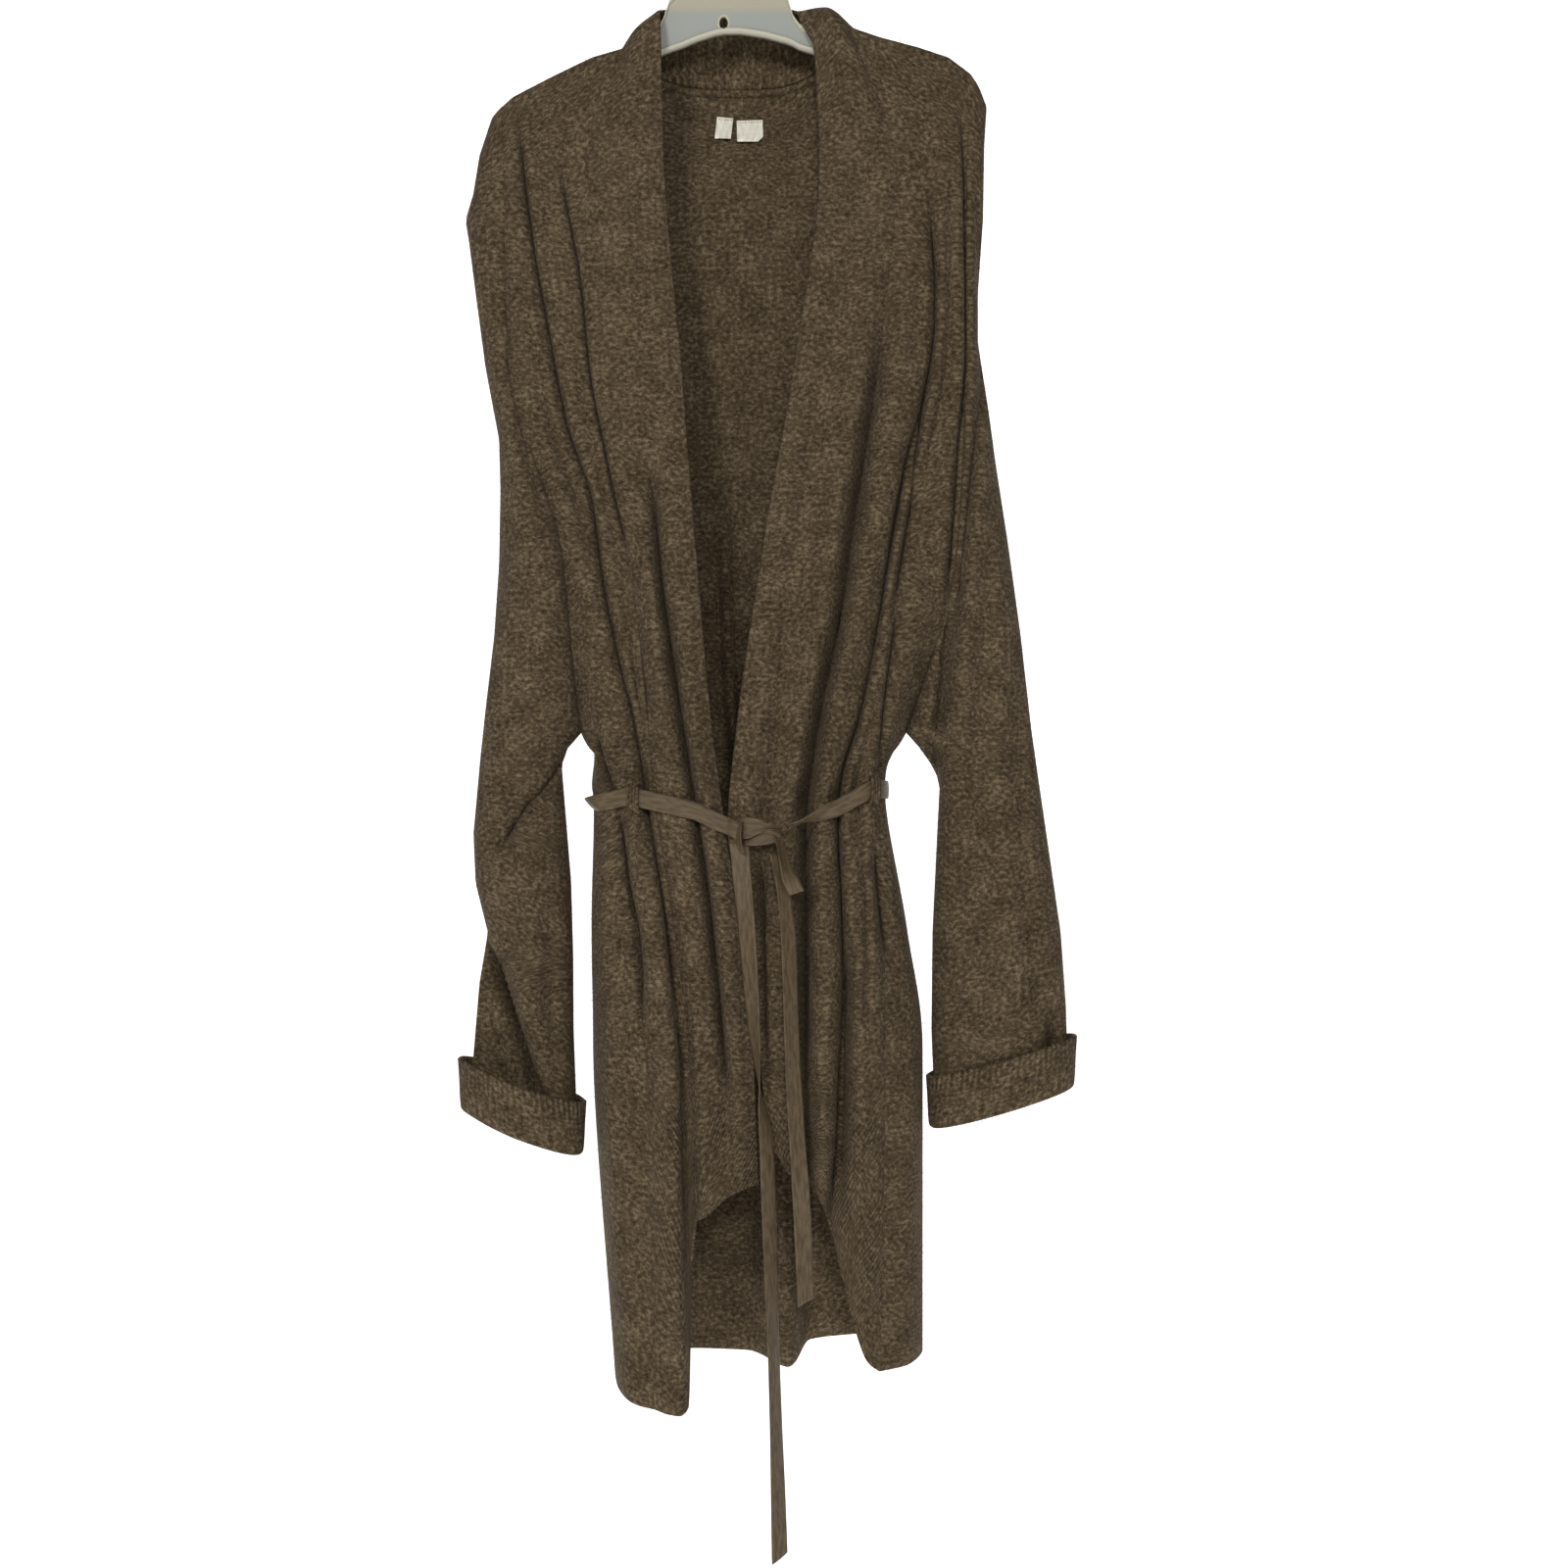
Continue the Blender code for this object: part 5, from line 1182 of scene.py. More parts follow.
# %% The plastic's finish
COOL_WEB = (0.255, 0.265, 0.240)
BEIGE_WEB = (0.330, 0.300, 0.215)
CREAM_RIM = (0.42, 0.395, 0.305)
WEB_HALF = 0.00155
RIM_STEEPNESS = 5000.0
WEB_CHANGE = -0.121
CHANGE_STEEPNESS = 160.0
HOLE_PLACE = (-0.009, -0.128)
HOLE_HALVES = (0.0034, 0.0050)
HOLE_LIP = 1.2
LIP_STEEPNESS = 3.0


def plastic_finish():
    made, tree, shader = finish("frosted_plastic", COOL_WEB, 0.45)
    own = add_node(tree, "ShaderNodeTexCoord")
    place = add_node(tree, "ShaderNodeSeparateXYZ", {"Vector": own.outputs["Object"]})
    depth = maths(tree, "ABSOLUTE", place.outputs["Y"], 0.0)
    rim = maths(tree, "MULTIPLY", maths(tree, "SUBTRACT", depth, WEB_HALF), RIM_STEEPNESS, clamp=True)
    above = maths(tree, "SUBTRACT", place.outputs["Z"], WEB_CHANGE)
    beige = maths(tree, "MULTIPLY", above, CHANGE_STEEPNESS, clamp=True)
    shares = []
    for axis, middle, half in zip("XZ", HOLE_PLACE, HOLE_HALVES):
        from_hole = maths(tree, "DIVIDE", maths(tree, "SUBTRACT", place.outputs[axis], middle), half)
        shares.append(maths(tree, "POWER", maths(tree, "ABSOLUTE", from_hole, 0.0), 2.0))
    away = maths(tree, "SQRT", maths(tree, "ADD", *shares), 0.0)
    off_lip = maths(tree, "ABSOLUTE", maths(tree, "SUBTRACT", away, HOLE_LIP), 0.0)
    lip = maths(tree, "SUBTRACT", 1.0, maths(tree, "MULTIPLY", off_lip, LIP_STEEPNESS), clamp=True)
    web = maths(tree, "MULTIPLY", beige, 0.5)
    cream = maths(tree, "MAXIMUM", rim, lip)
    frost = noise(tree, own.outputs["Object"], 900.0, 2.0, 0.5)
    level = maths(tree, "ADD", maths(tree, "MAXIMUM", web, cream), maths(tree, "MULTIPLY", frost, 0.04))
    tree.links.new(colour_ramp(tree, level, [(0.02, COOL_WEB), (0.5, BEIGE_WEB), (1.0, CREAM_RIM)]),
                   shader.inputs["Base Color"])
    bump(tree, shader, frost, 0.2, 0.0002)
    return made


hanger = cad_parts["hanger"]
PLASTIC = plastic_finish()
for place in range(len(hanger.material_slots)):
    hanger.material_slots[place].material = PLASTIC

# %% [markdown]
# ## Where the knit is ribbed
#
# Most of the garment is brushed so well that no stitch shows. Ribs show only low on the two sides
# of the band and the fronts, where they slant towards the middle, on the cuffs and round the back
# of the collar. Each point of the cloth gets the strength of the ribs there and their phase.

# %% Rib marks
HEM_RIB_PITCH = 0.0032
HEM_RIB_SLANT = 0.55
HEM_RIBS_TOP = -955.0
HEM_RIBS_FADE_IN = 50.0
HEM_RIBS_FOOT = -1190.0
HEM_RIBS_FADE_OUT = 60.0
# Brushing wears the hem's ribs away in patches: how even they stay, and the patches' sizes.
EVEN_SHARE = 0.62
PATCH_ACROSS = 6.0
PATCH_DOWN = 17.0
COLLAR_RIB_PITCH = 0.0068
COLLAR_RIBS = 0.4
COLLAR_STARTS = -6.0
COLLAR_FADE = 20.0
CUFF_RIB_PITCH = 0.0046
CUFF_RIBS_LOW = 0.15
CUFF_RIBS_MORE = 0.75
CUFF_TURN = 0.030
CUFF_FADE = 0.010
PLAIN_RIBS = 0.05


def hem_ribs(points, uv, slant):
    """Slanted ribs that fade in towards the front hems."""
    low = ramp((HEM_RIBS_TOP - points[:, 2]) / HEM_RIBS_FADE_IN)
    low = low * ramp((points[:, 2] - HEM_RIBS_FOOT) / HEM_RIBS_FADE_OUT)
    patches = np.sin(points[:, 0] / PATCH_ACROSS) * np.sin(points[:, 2] / PATCH_DOWN)
    strength = low * (EVEN_SHARE + (1 - EVEN_SHARE) * patches)
    return strength, (uv[:, 0] + slant * uv[:, 1]) / HEM_RIB_PITCH * FULL_TURN


def rib_marks(name, points, uv):
    """How strong the ribs are at each point of a piece, and their phase there."""
    if name == "front_left":
        return hem_ribs(points, uv, -HEM_RIB_SLANT)
    if name == "front_right":
        return hem_ribs(points, uv, HEM_RIB_SLANT)
    if name == "collar_band":
        slant = HEM_RIB_SLANT if points[:, 0].mean() < 0 else -HEM_RIB_SLANT
        strength, phase = hem_ribs(points, uv, slant)
        collar = ramp((points[:, 1] - COLLAR_STARTS) / COLLAR_FADE)
        return (np.maximum(strength, collar * COLLAR_RIBS),
                np.where(collar > 0, uv[:, 1] / COLLAR_RIB_PITCH * FULL_TURN, phase))
    if name.startswith("cuff"):
        upper = ramp((uv[:, 1] - CUFF_TURN) / CUFF_FADE)
        return CUFF_RIBS_LOW + CUFF_RIBS_MORE * upper, uv[:, 0] / CUFF_RIB_PITCH * FULL_TURN
    return np.full(len(points), PLAIN_RIBS), uv[:, 0] / COLLAR_RIB_PITCH * FULL_TURN


# %% Build the cloth pieces
Cloth = namedtuple("Cloth", "name nodes grid facing round_trip flat area")
CLOTHS = [
    Cloth("front_left", ("front_left",), front_left, 1, False, (0.12, 1.08), 0.092),
    Cloth("front_right", ("front_right",), front_right, 1, False, (0.16, 1.06), 0.130),
    Cloth("back", ("back", "back_skirt"), back, -1, False, (0.46, 1.10), 0.445),
    Cloth("collar_band", ("collar_band",), band, 1, False, (0.085, 2.05), 0.152),
    Cloth("sleeve_left", ("sleeve_left", "lower_sleeve_left"), sleeve_left, 1, False, (0.19, 0.86), 0.121),
    Cloth("sleeve_right", ("sleeve_right",), sleeve_right, -1, False, (0.20, 0.86), 0.130),
    Cloth("cuff_left", ("cuff_left",), cuff_left, 1, True, (0.25, 0.055), 0.0125),
    Cloth("cuff_right", ("cuff_right",), cuff_right, -1, True, (0.26, 0.057), 0.0138),
]
for cloth in CLOTHS:
    wall = wall_of(cloth.grid, KNIT_WALL, cloth.facing, cloth.round_trip)
    piece = cloth_piece(cloth.name + "_cloth", [wall])
    strength, phase = rib_marks(cloth.name, wall.points, wall.uv)
    paint(piece, "rib", strength)
    paint(piece, "phase", phase)
    piece.data.materials.append(KNIT)
    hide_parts(*cloth.nodes)
    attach(piece, "root")

# %% [markdown]
# ## The ribbon belt
#
# The belt is one taupe ribbon, tied once in front. It turns on edge where it leaves the side and
# again just right of the knot, so it shows there as a slim leaf. A flat strip with its rows turned
# one after the other gives that at once: each row has a middle and half a width with a direction.
# The hanging ends twist slowly, and the long one turns right over.

# %% Ribbon strips from rows
RIBBON_SHOWN = 0.8
SHARES = np.linspace(-1, 1, 9)
Row = namedtuple("Row", "across depth height width lean turn")


def strip(middles, halves, crown, cut=0.0, cut_rows=6):
    """A ribbon through its middles. Crown bows it across, and cut slants its last end."""
    grid = middles[:, None, :] + halves[:, None, :] * SHARES[None, :, None]
    grid = grid + grid_normals(grid, False) * (crown * (1 - SHARES**2))[None, :, None]
    along = (grid[-1] - grid[-2]) / np.linalg.norm(grid[-1] - grid[-2], axis=1)[:, None]
    for back_row in range(cut_rows):
        share = (cut_rows - back_row) / cut_rows
        grid[-1 - back_row] += along * (cut * SHARES * share)[:, None]
    return grid


def turned_strip(rows, count, crown, cut=0.0):
    """A strip from a table. Lean turns a row's width up from level, turn swings it away from the front."""
    table = np.array([tuple(row) for row in rows], float)
    table = smooth(table, np.arange(len(table)), np.linspace(0, len(table) - 1, count))
    lean = np.radians(table[:, 4])
    turn = np.radians(table[:, 5])
    side = np.stack([np.cos(lean) * np.cos(turn), np.sin(turn), np.sin(lean) * np.cos(turn)], axis=1)
    return strip(table[:, :3], side * table[:, 3:4] / 2, crown, cut)


# %% The ribbon round the waist
WAIST_TURN = np.array([(-124, 0), (-118, 26), (-112, 56), (-104, 34), (-94, 6), (-84, 0), (-30, 0), (4, 0),
                       (32, 58), (50, 80), (58, 66), (70, 26), (84, 4), (98, 0), (124, 0)], float)
TURN_BEHIND = 10.0
TURN_FADE = 30.0
WAIST_FINER = 5
WAIST_CROWN = 0.7
# At the knot the ribbon comes forward from the cloth: places across and depths in plan.
BELT_TO_KNOT = [(6.0, -80.5), (0.4, -78.0)]
BELT_FROM_KNOT = [(34.5, -76.5)]
# At the sides it draws in towards the gathered cloth: where that starts, its reach and how far.
PullIn = namedtuple("PullIn", "starts reach most")
LEFT_PULL_IN = PullIn(-98.0, 28.0, 9.0)
RIGHT_PULL_IN = PullIn(110.0, 16.0, 2.5)

waist_plan = np.concatenate([BELT_TO_KNOT, BELT_LINE, BELT_FROM_KNOT])
for side, pull in ((-1, LEFT_PULL_IN), (1, RIGHT_PULL_IN)):
    waist_plan[:, 0] -= side * pull.most * ramp(side * (waist_plan[:, 0] - pull.starts) / pull.reach)
steps = np.linspace(0, len(waist_plan) - 1, (len(waist_plan) - 1) * WAIST_FINER + 1)
waist_line = smooth(waist_plan, np.arange(len(waist_plan)), steps)
ahead = np.gradient(waist_line, axis=0)
ahead /= np.linalg.norm(ahead, axis=1)[:, None]
outwards = np.stack([ahead[:, 1], -ahead[:, 0]], axis=1)
outwards *= np.sign(np.sum(outwards * (waist_line - waist_line.mean(axis=0)), axis=1))[:, None]
middles = []
halves = []
for (x, y), (out_x, out_y) in zip(waist_line, outwards):
    in_front = 1 - ramp((y - TURN_BEHIND + TURN_FADE / 2) / TURN_FADE)
    turn = math.radians(between(WAIST_TURN, x)[0]) * in_front
    push = math.sin(turn) * RIBBON_WIDTH / 2
    middles.append((x + out_x * push, y + out_y * push, waist_height(x, y)))
    halves.append((out_x * math.sin(turn), out_y * math.sin(turn), math.cos(turn)))
waist_strip = strip(np.array(middles), np.array(halves) * RIBBON_WIDTH / 2, WAIST_CROWN)
print("waist ribbon rows", len(waist_strip))

# %% The hanging ends and the bow end
LONG_END = [
    Row(5, -79.5, -778, 14, 0, 0), Row(7.4, -80, -805, 13.8, 0, -12), Row(10, -80, -831, 13.5, 0, -24),
    Row(12.6, -79, -866, 13.5, 0, -32), Row(15.2, -78.5, -902, 13.5, 0, -43),
    Row(18, -78, -938, 13.5, 0, -66), Row(20.2, -78, -962, 13.5, 0, -88),
    Row(23, -78, -982, 13.5, 0, -118), Row(25.6, -78, -1004, 13.5, 0, -138),
    Row(27.4, -77.5, -1050, 13.5, 0, -142), Row(29.4, -77, -1110, 13.5, 0, -136),
    Row(31.2, -76, -1166, 13.5, 0, -128), Row(32.8, -75.5, -1217, 13.5, 0, -131),
    Row(34.6, -74.5, -1275, 13.5, 0, -142), Row(35.8, -74, -1321, 13.5, 0, -150),
]
SHORT_END = [
    Row(34, -79, -786, 13, 0, 30), Row(39, -79, -815, 13, 0, 40), Row(42.5, -78, -855, 13.3, 0, 38),
    Row(44, -77.5, -900, 13.3, 0, 38), Row(46, -77, -955, 13.3, 0, 33), Row(49.5, -77, -1010, 13.3, 0, 28),
    Row(52.5, -77, -1055, 13.3, 0, 14), Row(54.3, -76.5, -1095, 13.3, 0, 20),
    Row(55.5, -76, -1126, 13.3, 0, 26),
]
BOW = [
    Row(35, -83, -773, 11, 18, 58), Row(37, -88.5, -782, 12.5, 14, 64), Row(40, -92, -794, 13.5, 8, 58),
    Row(44, -92.5, -804.5, 13.5, -2, 26), Row(48.6, -90, -815, 13.5, -8, 4),
]
long_strip = turned_strip(LONG_END, 150, 0.5, cut=3.5)
short_strip = turned_strip(SHORT_END, 90, 0.5, cut=-3.0)
bow_strip = turned_strip(BOW, 44, 0.9, cut=-3.2)

# %% The knot, as strips wrapped over each other round a small core
KNOT_FACE = [
    Row(4.6, -78, -768, 10, 90, 0), Row(7, -84.5, -766.5, 14.5, 90, 0), Row(11, -87.5, -766.2, 15.6, 90, 0),
    Row(16, -88.8, -765.4, 13.4, 90, 0), Row(21, -88.6, -765, 9.5, 90, 0), Row(26, -87, -765.3, 5, 90, 0),
    Row(30, -85, -766, 2.8, 90, 0), Row(34, -81, -767, 3, 90, 0), Row(38, -77, -768, 4, 90, 0),
]
KNOT_UNDER = [
    Row(8, -81, -777.4, 3, 80, 0), Row(13, -83.5, -777, 4.5, 84, 0), Row(19, -85, -775.4, 7.5, 90, 0),
    Row(25, -85.8, -773.4, 10, 98, 0), Row(30, -85.2, -772.6, 9.4, 104, 0), Row(34, -83, -772.8, 7, 108, 0),
    Row(37.5, -79, -773.5, 5, 110, 0),
]
KNOT_SIDE = [
    Row(6.0, -77, -758.5, 8, 0, -60), Row(4.6, -81, -763, 12, 0, -64), Row(3.8, -83, -771, 13, 0, -66),
    Row(4.0, -82.5, -779, 13, 0, -60), Row(5.4, -79.5, -786, 12, 0, -46),
]
CORE = [(5.5, -768, 4.0, 2.0), (9, -767.5, 5.6, 3.2), (15, -768, 5.6, 3.6), (22, -769, 5.4, 3.6),
        (28, -770.5, 4.6, 3.2), (33, -771.5, 3.4, 2.4), (36, -772.5, 2.0, 1.2)]
CORE_DEPTH = -80.0
CORE_SIDES = 32
core_table = smooth(CORE, np.arange(len(CORE)), np.linspace(0, len(CORE) - 1, 30))
round_turn = np.linspace(0, FULL_TURN, CORE_SIDES + 1)
core_rings = []
for across, height, half_height, half_depth in core_table:
    core_rings.append(np.stack([np.full(CORE_SIDES + 1, across),
                                CORE_DEPTH + half_depth * np.sin(round_turn),
                                height + half_height * np.cos(round_turn)], axis=1))
KNOT_WALLS = [wall_of(turned_strip(KNOT_FACE, 46, 1.6), RIBBON_SHOWN),
              wall_of(turned_strip(KNOT_UNDER, 44, 0.9), RIBBON_SHOWN),
              wall_of(turned_strip(KNOT_SIDE, 30, 0.9), RIBBON_SHOWN),
              wall_of(np.array(core_rings), RIBBON_SHOWN, round_trip=True)]

# %% Make the ribbon pieces
RibbonPiece = namedtuple("RibbonPiece", "node walls length")
RIBBON_PIECES = [
    RibbonPiece("belt_waist", [wall_of(waist_strip, RIBBON_SHOWN, facing=-1)], 0.64),
    RibbonPiece("belt_knot", KNOT_WALLS, 0.15),
    RibbonPiece("belt_ear", [wall_of(bow_strip, RIBBON_SHOWN)], 0.05),
    RibbonPiece("belt_tail_long", [wall_of(long_strip, RIBBON_SHOWN)], 0.55),
    RibbonPiece("belt_tail_short", [wall_of(short_strip, RIBBON_SHOWN)], 0.345),
]
for made in RIBBON_PIECES:
    piece = cloth_piece(made.node + "_ribbon", made.walls)
    piece.data.materials.append(RIBBON)
    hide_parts(made.node)
    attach(piece, "root")

# %% [markdown]
# ## Belt loops
#
# Each side seam carries one short knitted strap, sewn down at both ends, that holds the ribbon. It
# bulges over the ribbon in the middle and is a little rolled at its long edges.

# %% The two belt loops
LOOP_WIDTH = 8.0
LOOP_HALF_HEIGHT = 12.5
LOOP_WALL = 1.8
LOOP_CROWN = 1.1
LOOP_RIB_PITCH = 0.0026
LOOP_RIBS = 0.8
LOOP_PLACES = {"belt_loop_left": -75.0, "belt_loop_right": 108.0}
IN_FRONT_OF = -20.0
LOOP_PROFILE = [(1.0, 0.5), (0.82, 1.4), (0.64, 2.8), (0.2, 3.4), (-0.2, 3.4), (-0.64, 2.8), (-0.82, 1.4),
                (-1.0, 0.5)]
profile = smooth(LOOP_PROFILE, np.arange(len(LOOP_PROFILE)), np.linspace(0, len(LOOP_PROFILE) - 1, 36))
for node, across in LOOP_PLACES.items():
    away = np.where(waist_line[:, 1] > IN_FRONT_OF, np.inf, np.abs(waist_line[:, 0] - across))
    place = int(np.argmin(away))
    x, y = waist_line[place]
    out = np.array([*outwards[place], 0.0])
    along = np.array([-out[1], out[0], 0.0])
    height = waist_height(x, y)
    middles = np.array([np.array([x, y, height + share * LOOP_HALF_HEIGHT]) + out * stand
                        for share, stand in profile])
    halves = np.repeat([along * LOOP_WIDTH / 2], len(middles), axis=0)
    wall = wall_of(strip(middles, halves, LOOP_CROWN), LOOP_WALL)
    piece = cloth_piece(node + "_knit", [wall])
    paint(piece, "rib", np.full(len(wall.points), LOOP_RIBS))
    paint(piece, "phase", wall.uv[:, 0] / LOOP_RIB_PITCH * FULL_TURN)
    piece.data.materials.append(KNIT)
    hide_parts(node)
    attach(piece, "root")

# %% [markdown]
# ## Labels
#
# Two cream tapes hang inside the back, just below the neck seam, sewn on at their tops. The wider
# one has a clipped lower corner. They carry nothing, so what makes them real is the tape itself, its slight
# curl, and the stitches along the top.

# %% The two labels
Label = namedtuple("Label", "node across top width height tilt clip curl")
LABELS = [Label("label_size", -9.0, -189.0, 13.0, 20.0, -5.0, 0.0, 0.9),
          Label("label_main", 11.0, -191.5, 21.0, 20.0, 2.0, 4.2, -0.7)]
LABEL_WALL = 0.5
LABEL_GAP = 0.4
LABEL_STAND = 1.5
LABEL_SWING = 1.6
LABEL_POINTS = 20
inside_back = back[:9 * FINE].reshape(-1, 3)
label_tops = []
for label in LABELS:
    angle = math.radians(label.tilt)
    grid = np.zeros((LABEL_POINTS, LABEL_POINTS, 3))
    for row, share_down in enumerate(np.linspace(0, 1, LABEL_POINTS)):
        drop = label.height * share_down
        clipped = max(0.0, label.clip - (label.height - drop))
        for column, share in enumerate(np.linspace(-0.5, 0.5, LABEL_POINTS)):
            out = (share + 0.5) * (label.width - clipped) - label.width / 2
            x = label.across + out * math.cos(angle) + drop * math.sin(angle)
            z = label.top - drop * math.cos(angle) + out * math.sin(angle)
            away = (inside_back[:, 0] - x) ** 2 + (inside_back[:, 2] - z) ** 2
            near = inside_back[np.argsort(away)[:4]]
            stand = LABEL_STAND + LABEL_SWING * share_down**2 + label.curl * share * share_down * 2
            grid[row, column] = (x, near[:, 1].min() - KNIT_WALL / 2 - LABEL_GAP - stand, z)
    for _ in range(3):
        grid[1:-1, :, 1] = (grid[:-2, :, 1] + 2 * grid[1:-1, :, 1] + grid[2:, :, 1]) / 4
        grid[:, 1:-1, 1] = (grid[:, :-2, 1] + 2 * grid[:, 1:-1, 1] + grid[:, 2:, 1]) / 4
    label_tops.append(grid[2, 1:-1])
    piece = cloth_piece(label.node + "_tape", [wall_of(grid, LABEL_WALL)])
    piece.data.materials.append(LABEL)
    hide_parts(label.node)
    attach(piece, "root")

# %% [markdown]
# ## Stitches
#
# A linking machine leaves one small stitch after another on both sides of the neck seam, and each
# label hangs from a short row of hand stitches. Every stitch is the same bead of yarn, so a node
# tree copies one bead onto the points of a host line and turns it along that line.


# %% Helpers for node trees that grow things on a host
def growing_tree(name, inputs):
    return new_group(name, inputs, [("Geometry", "NodeSocketGeometry")], "GeometryNodeTree")


def close_tree(tree, given, taken, instances):
    """Copies become real faces with the material that was asked for."""
    real = add_node(tree, "GeometryNodeRealizeInstances", {"Geometry": instances})
    coated = add_node(tree, "GeometryNodeSetMaterial",
                      {"Geometry": real.outputs["Geometry"], "Material": given.outputs["Material"]})
    tree.links.new(coated.outputs["Geometry"], taken.inputs["Geometry"])


def random_size(tree, given, spread):
    """A size near one for each copy, from the tree's own seed."""
    chance = add_node(tree, "FunctionNodeRandomValue",
                      {2: 1 - spread, 3: 1 + spread, "Seed": given.outputs["Seed"]}, data_type="FLOAT")
    return chance.outputs[1]


def grown(name, host, tree, values):
    """The tree's result as a plain piece. The host goes."""
    modifier = host.modifiers.new("grow", "NODES")
    modifier.node_group = tree
    for item in tree.interface.items_tree:
        if item.in_out == "INPUT" and item.name in values:
            modifier[item.identifier] = values[item.name]
    graph = bpy.context.evaluated_depsgraph_get()
    mesh = bpy.data.meshes.new_from_object(host.evaluated_get(graph), depsgraph=graph)
    host.modifiers.remove(modifier)
    bpy.data.objects.remove(host)
    for face in mesh.polygons:
        face.use_smooth = True
    piece = bpy.data.objects.new(name, mesh)
    bpy.context.scene.collection.objects.link(piece)
    print(name, "faces", len(mesh.polygons))
    return piece


# %% The stitch tree
STITCH_SPREAD = 0.14
stitch_tree, stitch_in, stitch_out = growing_tree("stitches", [
    ("Geometry", "NodeSocketGeometry", None), ("Length", "NodeSocketFloat", 0.003),
    ("Thickness", "NodeSocketFloat", 0.001), ("Seed", "NodeSocketInt", 4),
    ("Material", "NodeSocketMaterial", None)])
bead = add_node(stitch_tree, "GeometryNodeMeshIcoSphere", {"Radius": 0.5, "Subdivisions": 2})
along_line = add_node(stitch_tree, "GeometryNodeInputNamedAttribute", {"Name": "along"},
                      data_type="FLOAT_VECTOR")
turned = add_node(stitch_tree, "FunctionNodeAlignRotationToVector",
                  {"Vector": along_line.outputs["Attribute"]}, axis="Z")
thickness = stitch_in.outputs["Thickness"]
bead_size = add_node(stitch_tree, "ShaderNodeCombineXYZ",
                     {"X": thickness, "Y": thickness, "Z": stitch_in.outputs["Length"]})
varied = add_node(stitch_tree, "ShaderNodeVectorMath",
                  {0: bead_size.outputs["Vector"],
                   "Scale": random_size(stitch_tree, stitch_in, STITCH_SPREAD)}, operation="SCALE")
beads = add_node(stitch_tree, "GeometryNodeInstanceOnPoints",
                 {"Points": stitch_in.outputs["Geometry"], "Instance": bead.outputs["Mesh"],
                  "Rotation": turned.outputs["Rotation"], "Scale": varied.outputs["Vector"]})
close_tree(stitch_tree, stitch_in, stitch_out, beads.outputs["Instances"])
print("stitch nodes", len(stitch_tree.nodes))

# %% Stitch lines on the neck seam and the labels
NECK_PITCH = 3.4
LABEL_PITCH = 2.4


def line_at(part, distance):
    """The line across a part at one distance down from its first row."""
    line = []
    for column in range(part.shape[1]):
        points = part[:, column]
        along = np.concatenate([[0], np.linalg.norm(np.diff(points, axis=0), axis=1).cumsum()])
        line.append([np.interp(distance, along, points[:, axis]) for axis in range(3)])
    return np.array(line)


def evenly(line, pitch):
    along = np.concatenate([[0], np.linalg.norm(np.diff(line, axis=0), axis=1).cumsum()])
    places = np.arange(pitch / 2, along[-1], pitch)
    return np.stack([np.interp(places, along, line[:, axis]) for axis in range(3)], axis=1)


def stitched(name, lines, length, thickness, seed):
    points = np.concatenate(lines)
    along = np.concatenate([np.gradient(line, axis=0) for line in lines])
    host = plain_mesh(name + "_host", points * MM, [])
    layer = host.data.attributes.new("along", "FLOAT_VECTOR", "POINT")
    layer.data.foreach_set("vector", along.astype(np.float32).reshape(-1))
    piece = grown(name, host, stitch_tree,
                  {"Length": length, "Thickness": thickness, "Seed": seed, "Material": YARN})
    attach(piece, "root")


inside = np.array([0.0, -KNIT_WALL / 2 + 0.2, 0.0])
collar_down = np.swapaxes(collar_part, 0, 1)
stitched("neck_seam_stitches",
         [evenly(line_at(neck_part, GROOVE_PLACE), NECK_PITCH) + inside,
          evenly(line_at(collar_down, GROOVE_PLACE), NECK_PITCH) + inside],
         0.0036, 0.0011, 4)
stitched("label_stitches",
         [evenly(top, LABEL_PITCH) + np.array([0.0, -LABEL_WALL / 2, 0.0]) for top in label_tops],
         0.0019, 0.0006, 9)

# %% [markdown]
# ## The nap
#
# The knit is brushed, so short loose fibres stand off it everywhere and soften its outline. They
# are far too many to model one by one. A second tree scatters one short bent fibre over the cloth
# with a fixed seed and leans each copy its own way. The host is a coarser copy of all the cloth.

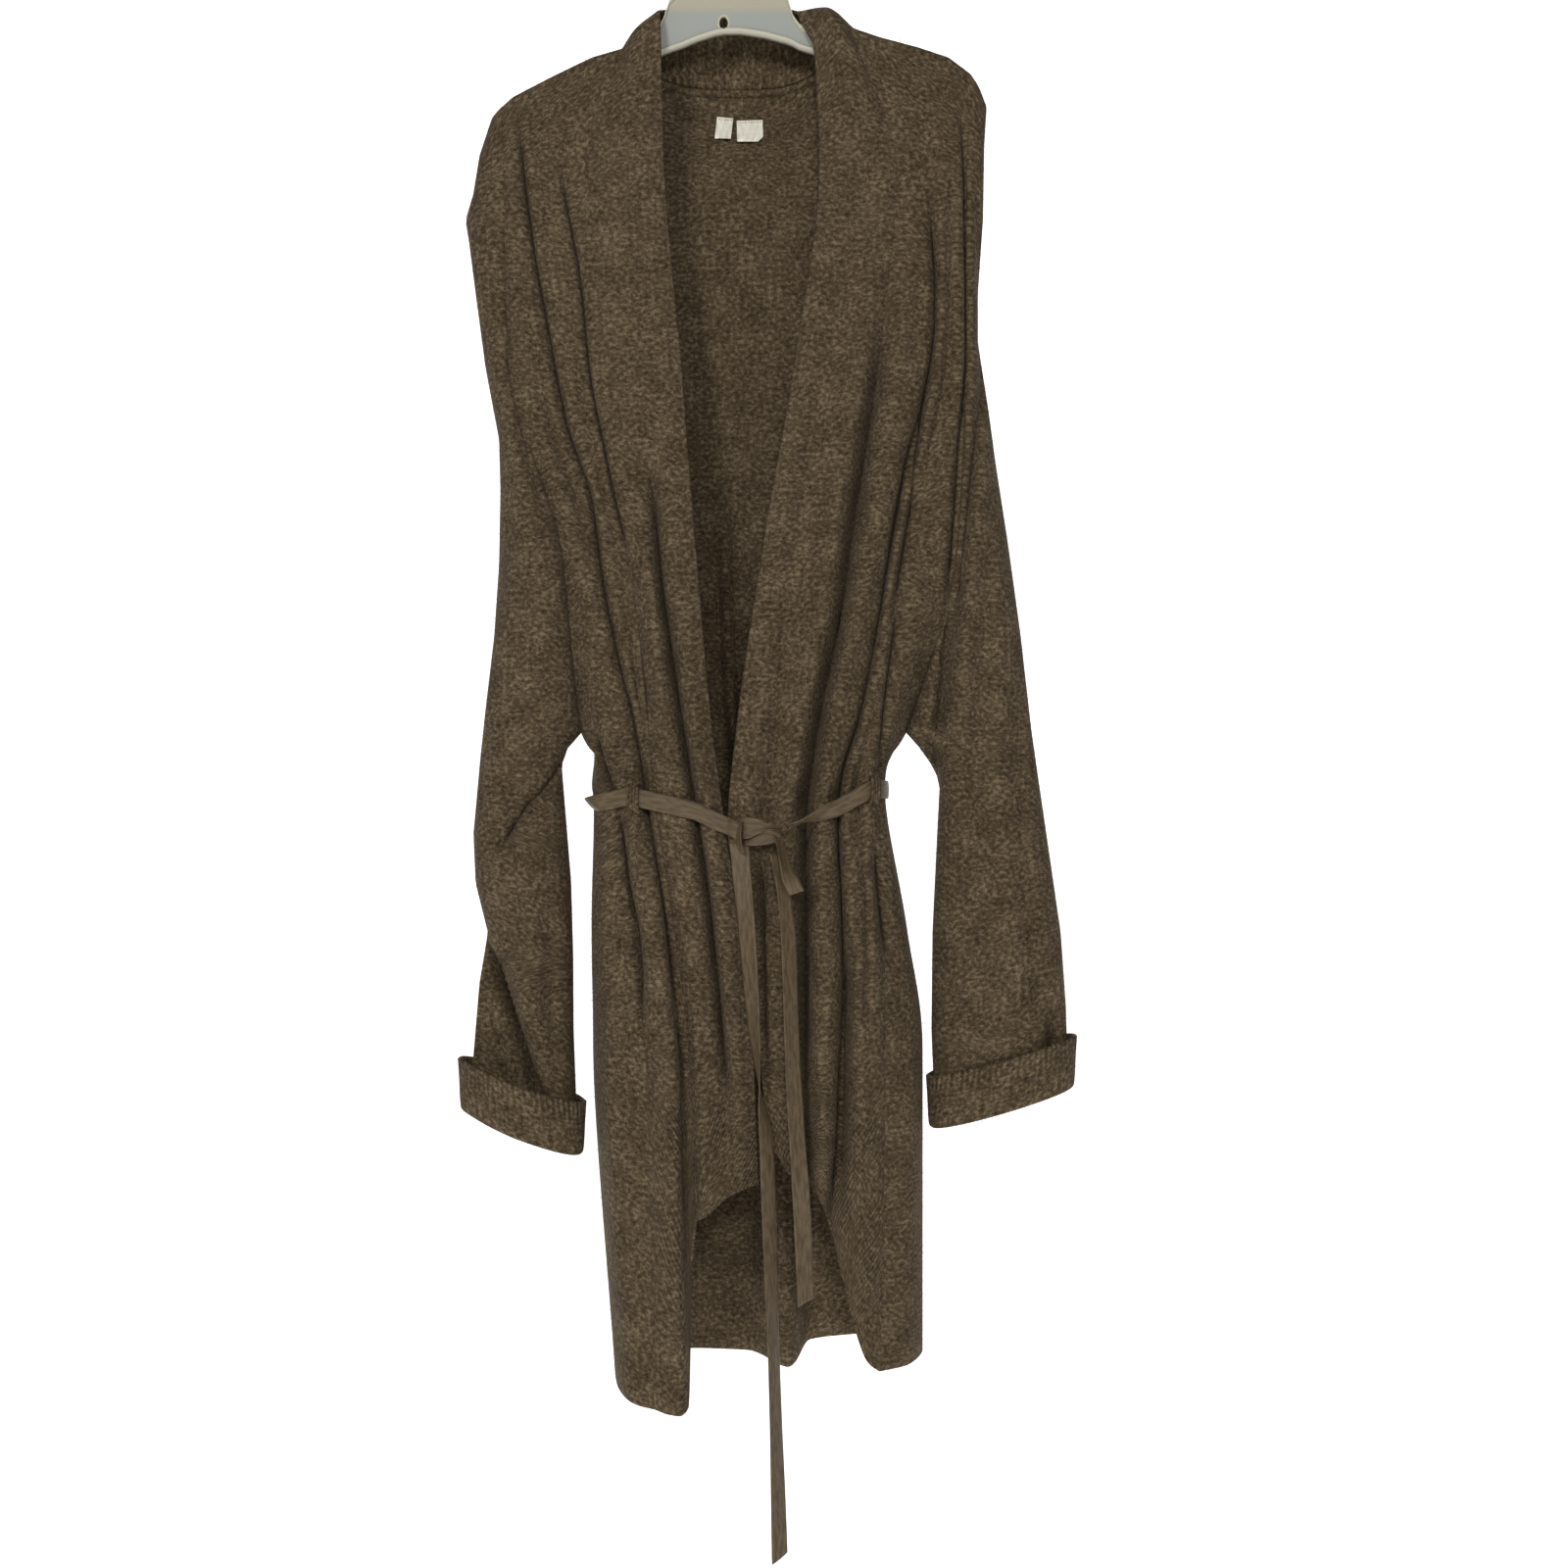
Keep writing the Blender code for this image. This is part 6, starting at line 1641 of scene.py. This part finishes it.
# %% The nap tree
NAP_EACH_SQUARE_METRE = 12500.0
NAP_LENGTH = 0.0042
NAP_WIDTH = 0.00022
NAP_SPREAD = 0.4
NAP_SEED = 11
nap_tree, nap_in, nap_out = growing_tree("nap", [
    ("Geometry", "NodeSocketGeometry", None), ("Density", "NodeSocketFloat", 9000.0),
    ("Length", "NodeSocketFloat", 0.004), ("Width", "NodeSocketFloat", 0.0002),
    ("Seed", "NodeSocketInt", NAP_SEED), ("Material", "NodeSocketMaterial", None)])
scattered = add_node(nap_tree, "GeometryNodeDistributePointsOnFaces",
                     {"Mesh": nap_in.outputs["Geometry"], "Density": nap_in.outputs["Density"],
                      "Seed": nap_in.outputs["Seed"]})
bent = add_node(nap_tree, "GeometryNodeCurveQuadraticBezier",
                {"Resolution": 3, "Start": (0, 0, 0), "Middle": (0.25, 0, 0.42),
                 "End": (0.95, 0.12, 0.36)})
slimness = maths(nap_tree, "DIVIDE", nap_in.outputs["Width"], nap_in.outputs["Length"])
width_ends = {}
for end, side in (("Start", -0.5), ("End", 0.5)):
    half = maths(nap_tree, "MULTIPLY", slimness, side)
    width_ends[end] = add_node(nap_tree, "ShaderNodeCombineXYZ", {"X": half}).outputs["Vector"]
flat_profile = add_node(nap_tree, "GeometryNodeCurvePrimitiveLine", width_ends)
fibre = add_node(nap_tree, "GeometryNodeCurveToMesh",
                 {"Curve": bent.outputs["Curve"], "Profile Curve": flat_profile.outputs["Curve"]})
spun = add_node(nap_tree, "FunctionNodeRandomValue",
                {0: (-0.35, -0.25, 0.0), 1: (0.35, 0.25, FULL_TURN), "Seed": nap_in.outputs["Seed"]},
                data_type="FLOAT_VECTOR")
spin = add_node(nap_tree, "FunctionNodeEulerToRotation", {"Euler": spun.outputs[0]})
leaned = add_node(nap_tree, "FunctionNodeRotateRotation",
                  {"Rotation": scattered.outputs["Rotation"], "Rotate By": spin.outputs["Rotation"]},
                  rotation_space="LOCAL")
varied_size = random_size(nap_tree, nap_in, NAP_SPREAD)
fibre_size = maths(nap_tree, "MULTIPLY", varied_size, nap_in.outputs["Length"])
fibres = add_node(nap_tree, "GeometryNodeInstanceOnPoints",
                  {"Points": scattered.outputs["Points"], "Instance": fibre.outputs["Mesh"],
                   "Rotation": leaned.outputs["Rotation"], "Scale": fibre_size})
close_tree(nap_tree, nap_in, nap_out, fibres.outputs["Instances"])
print("nap nodes", len(nap_tree.nodes))

# %% Grow the nap
NAP_HOST_STEP = 3
coarse = [wall_of(cloth.grid[::NAP_HOST_STEP, ::NAP_HOST_STEP], KNIT_WALL, cloth.facing, cloth.round_trip)
          for cloth in CLOTHS]
nap = grown("yarn_nap", cloth_piece("nap_host", coarse), nap_tree,
            {"Density": NAP_EACH_SQUARE_METRE, "Length": NAP_LENGTH, "Width": NAP_WIDTH,
             "Seed": NAP_SEED, "Material": YARN})
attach(nap, "root")
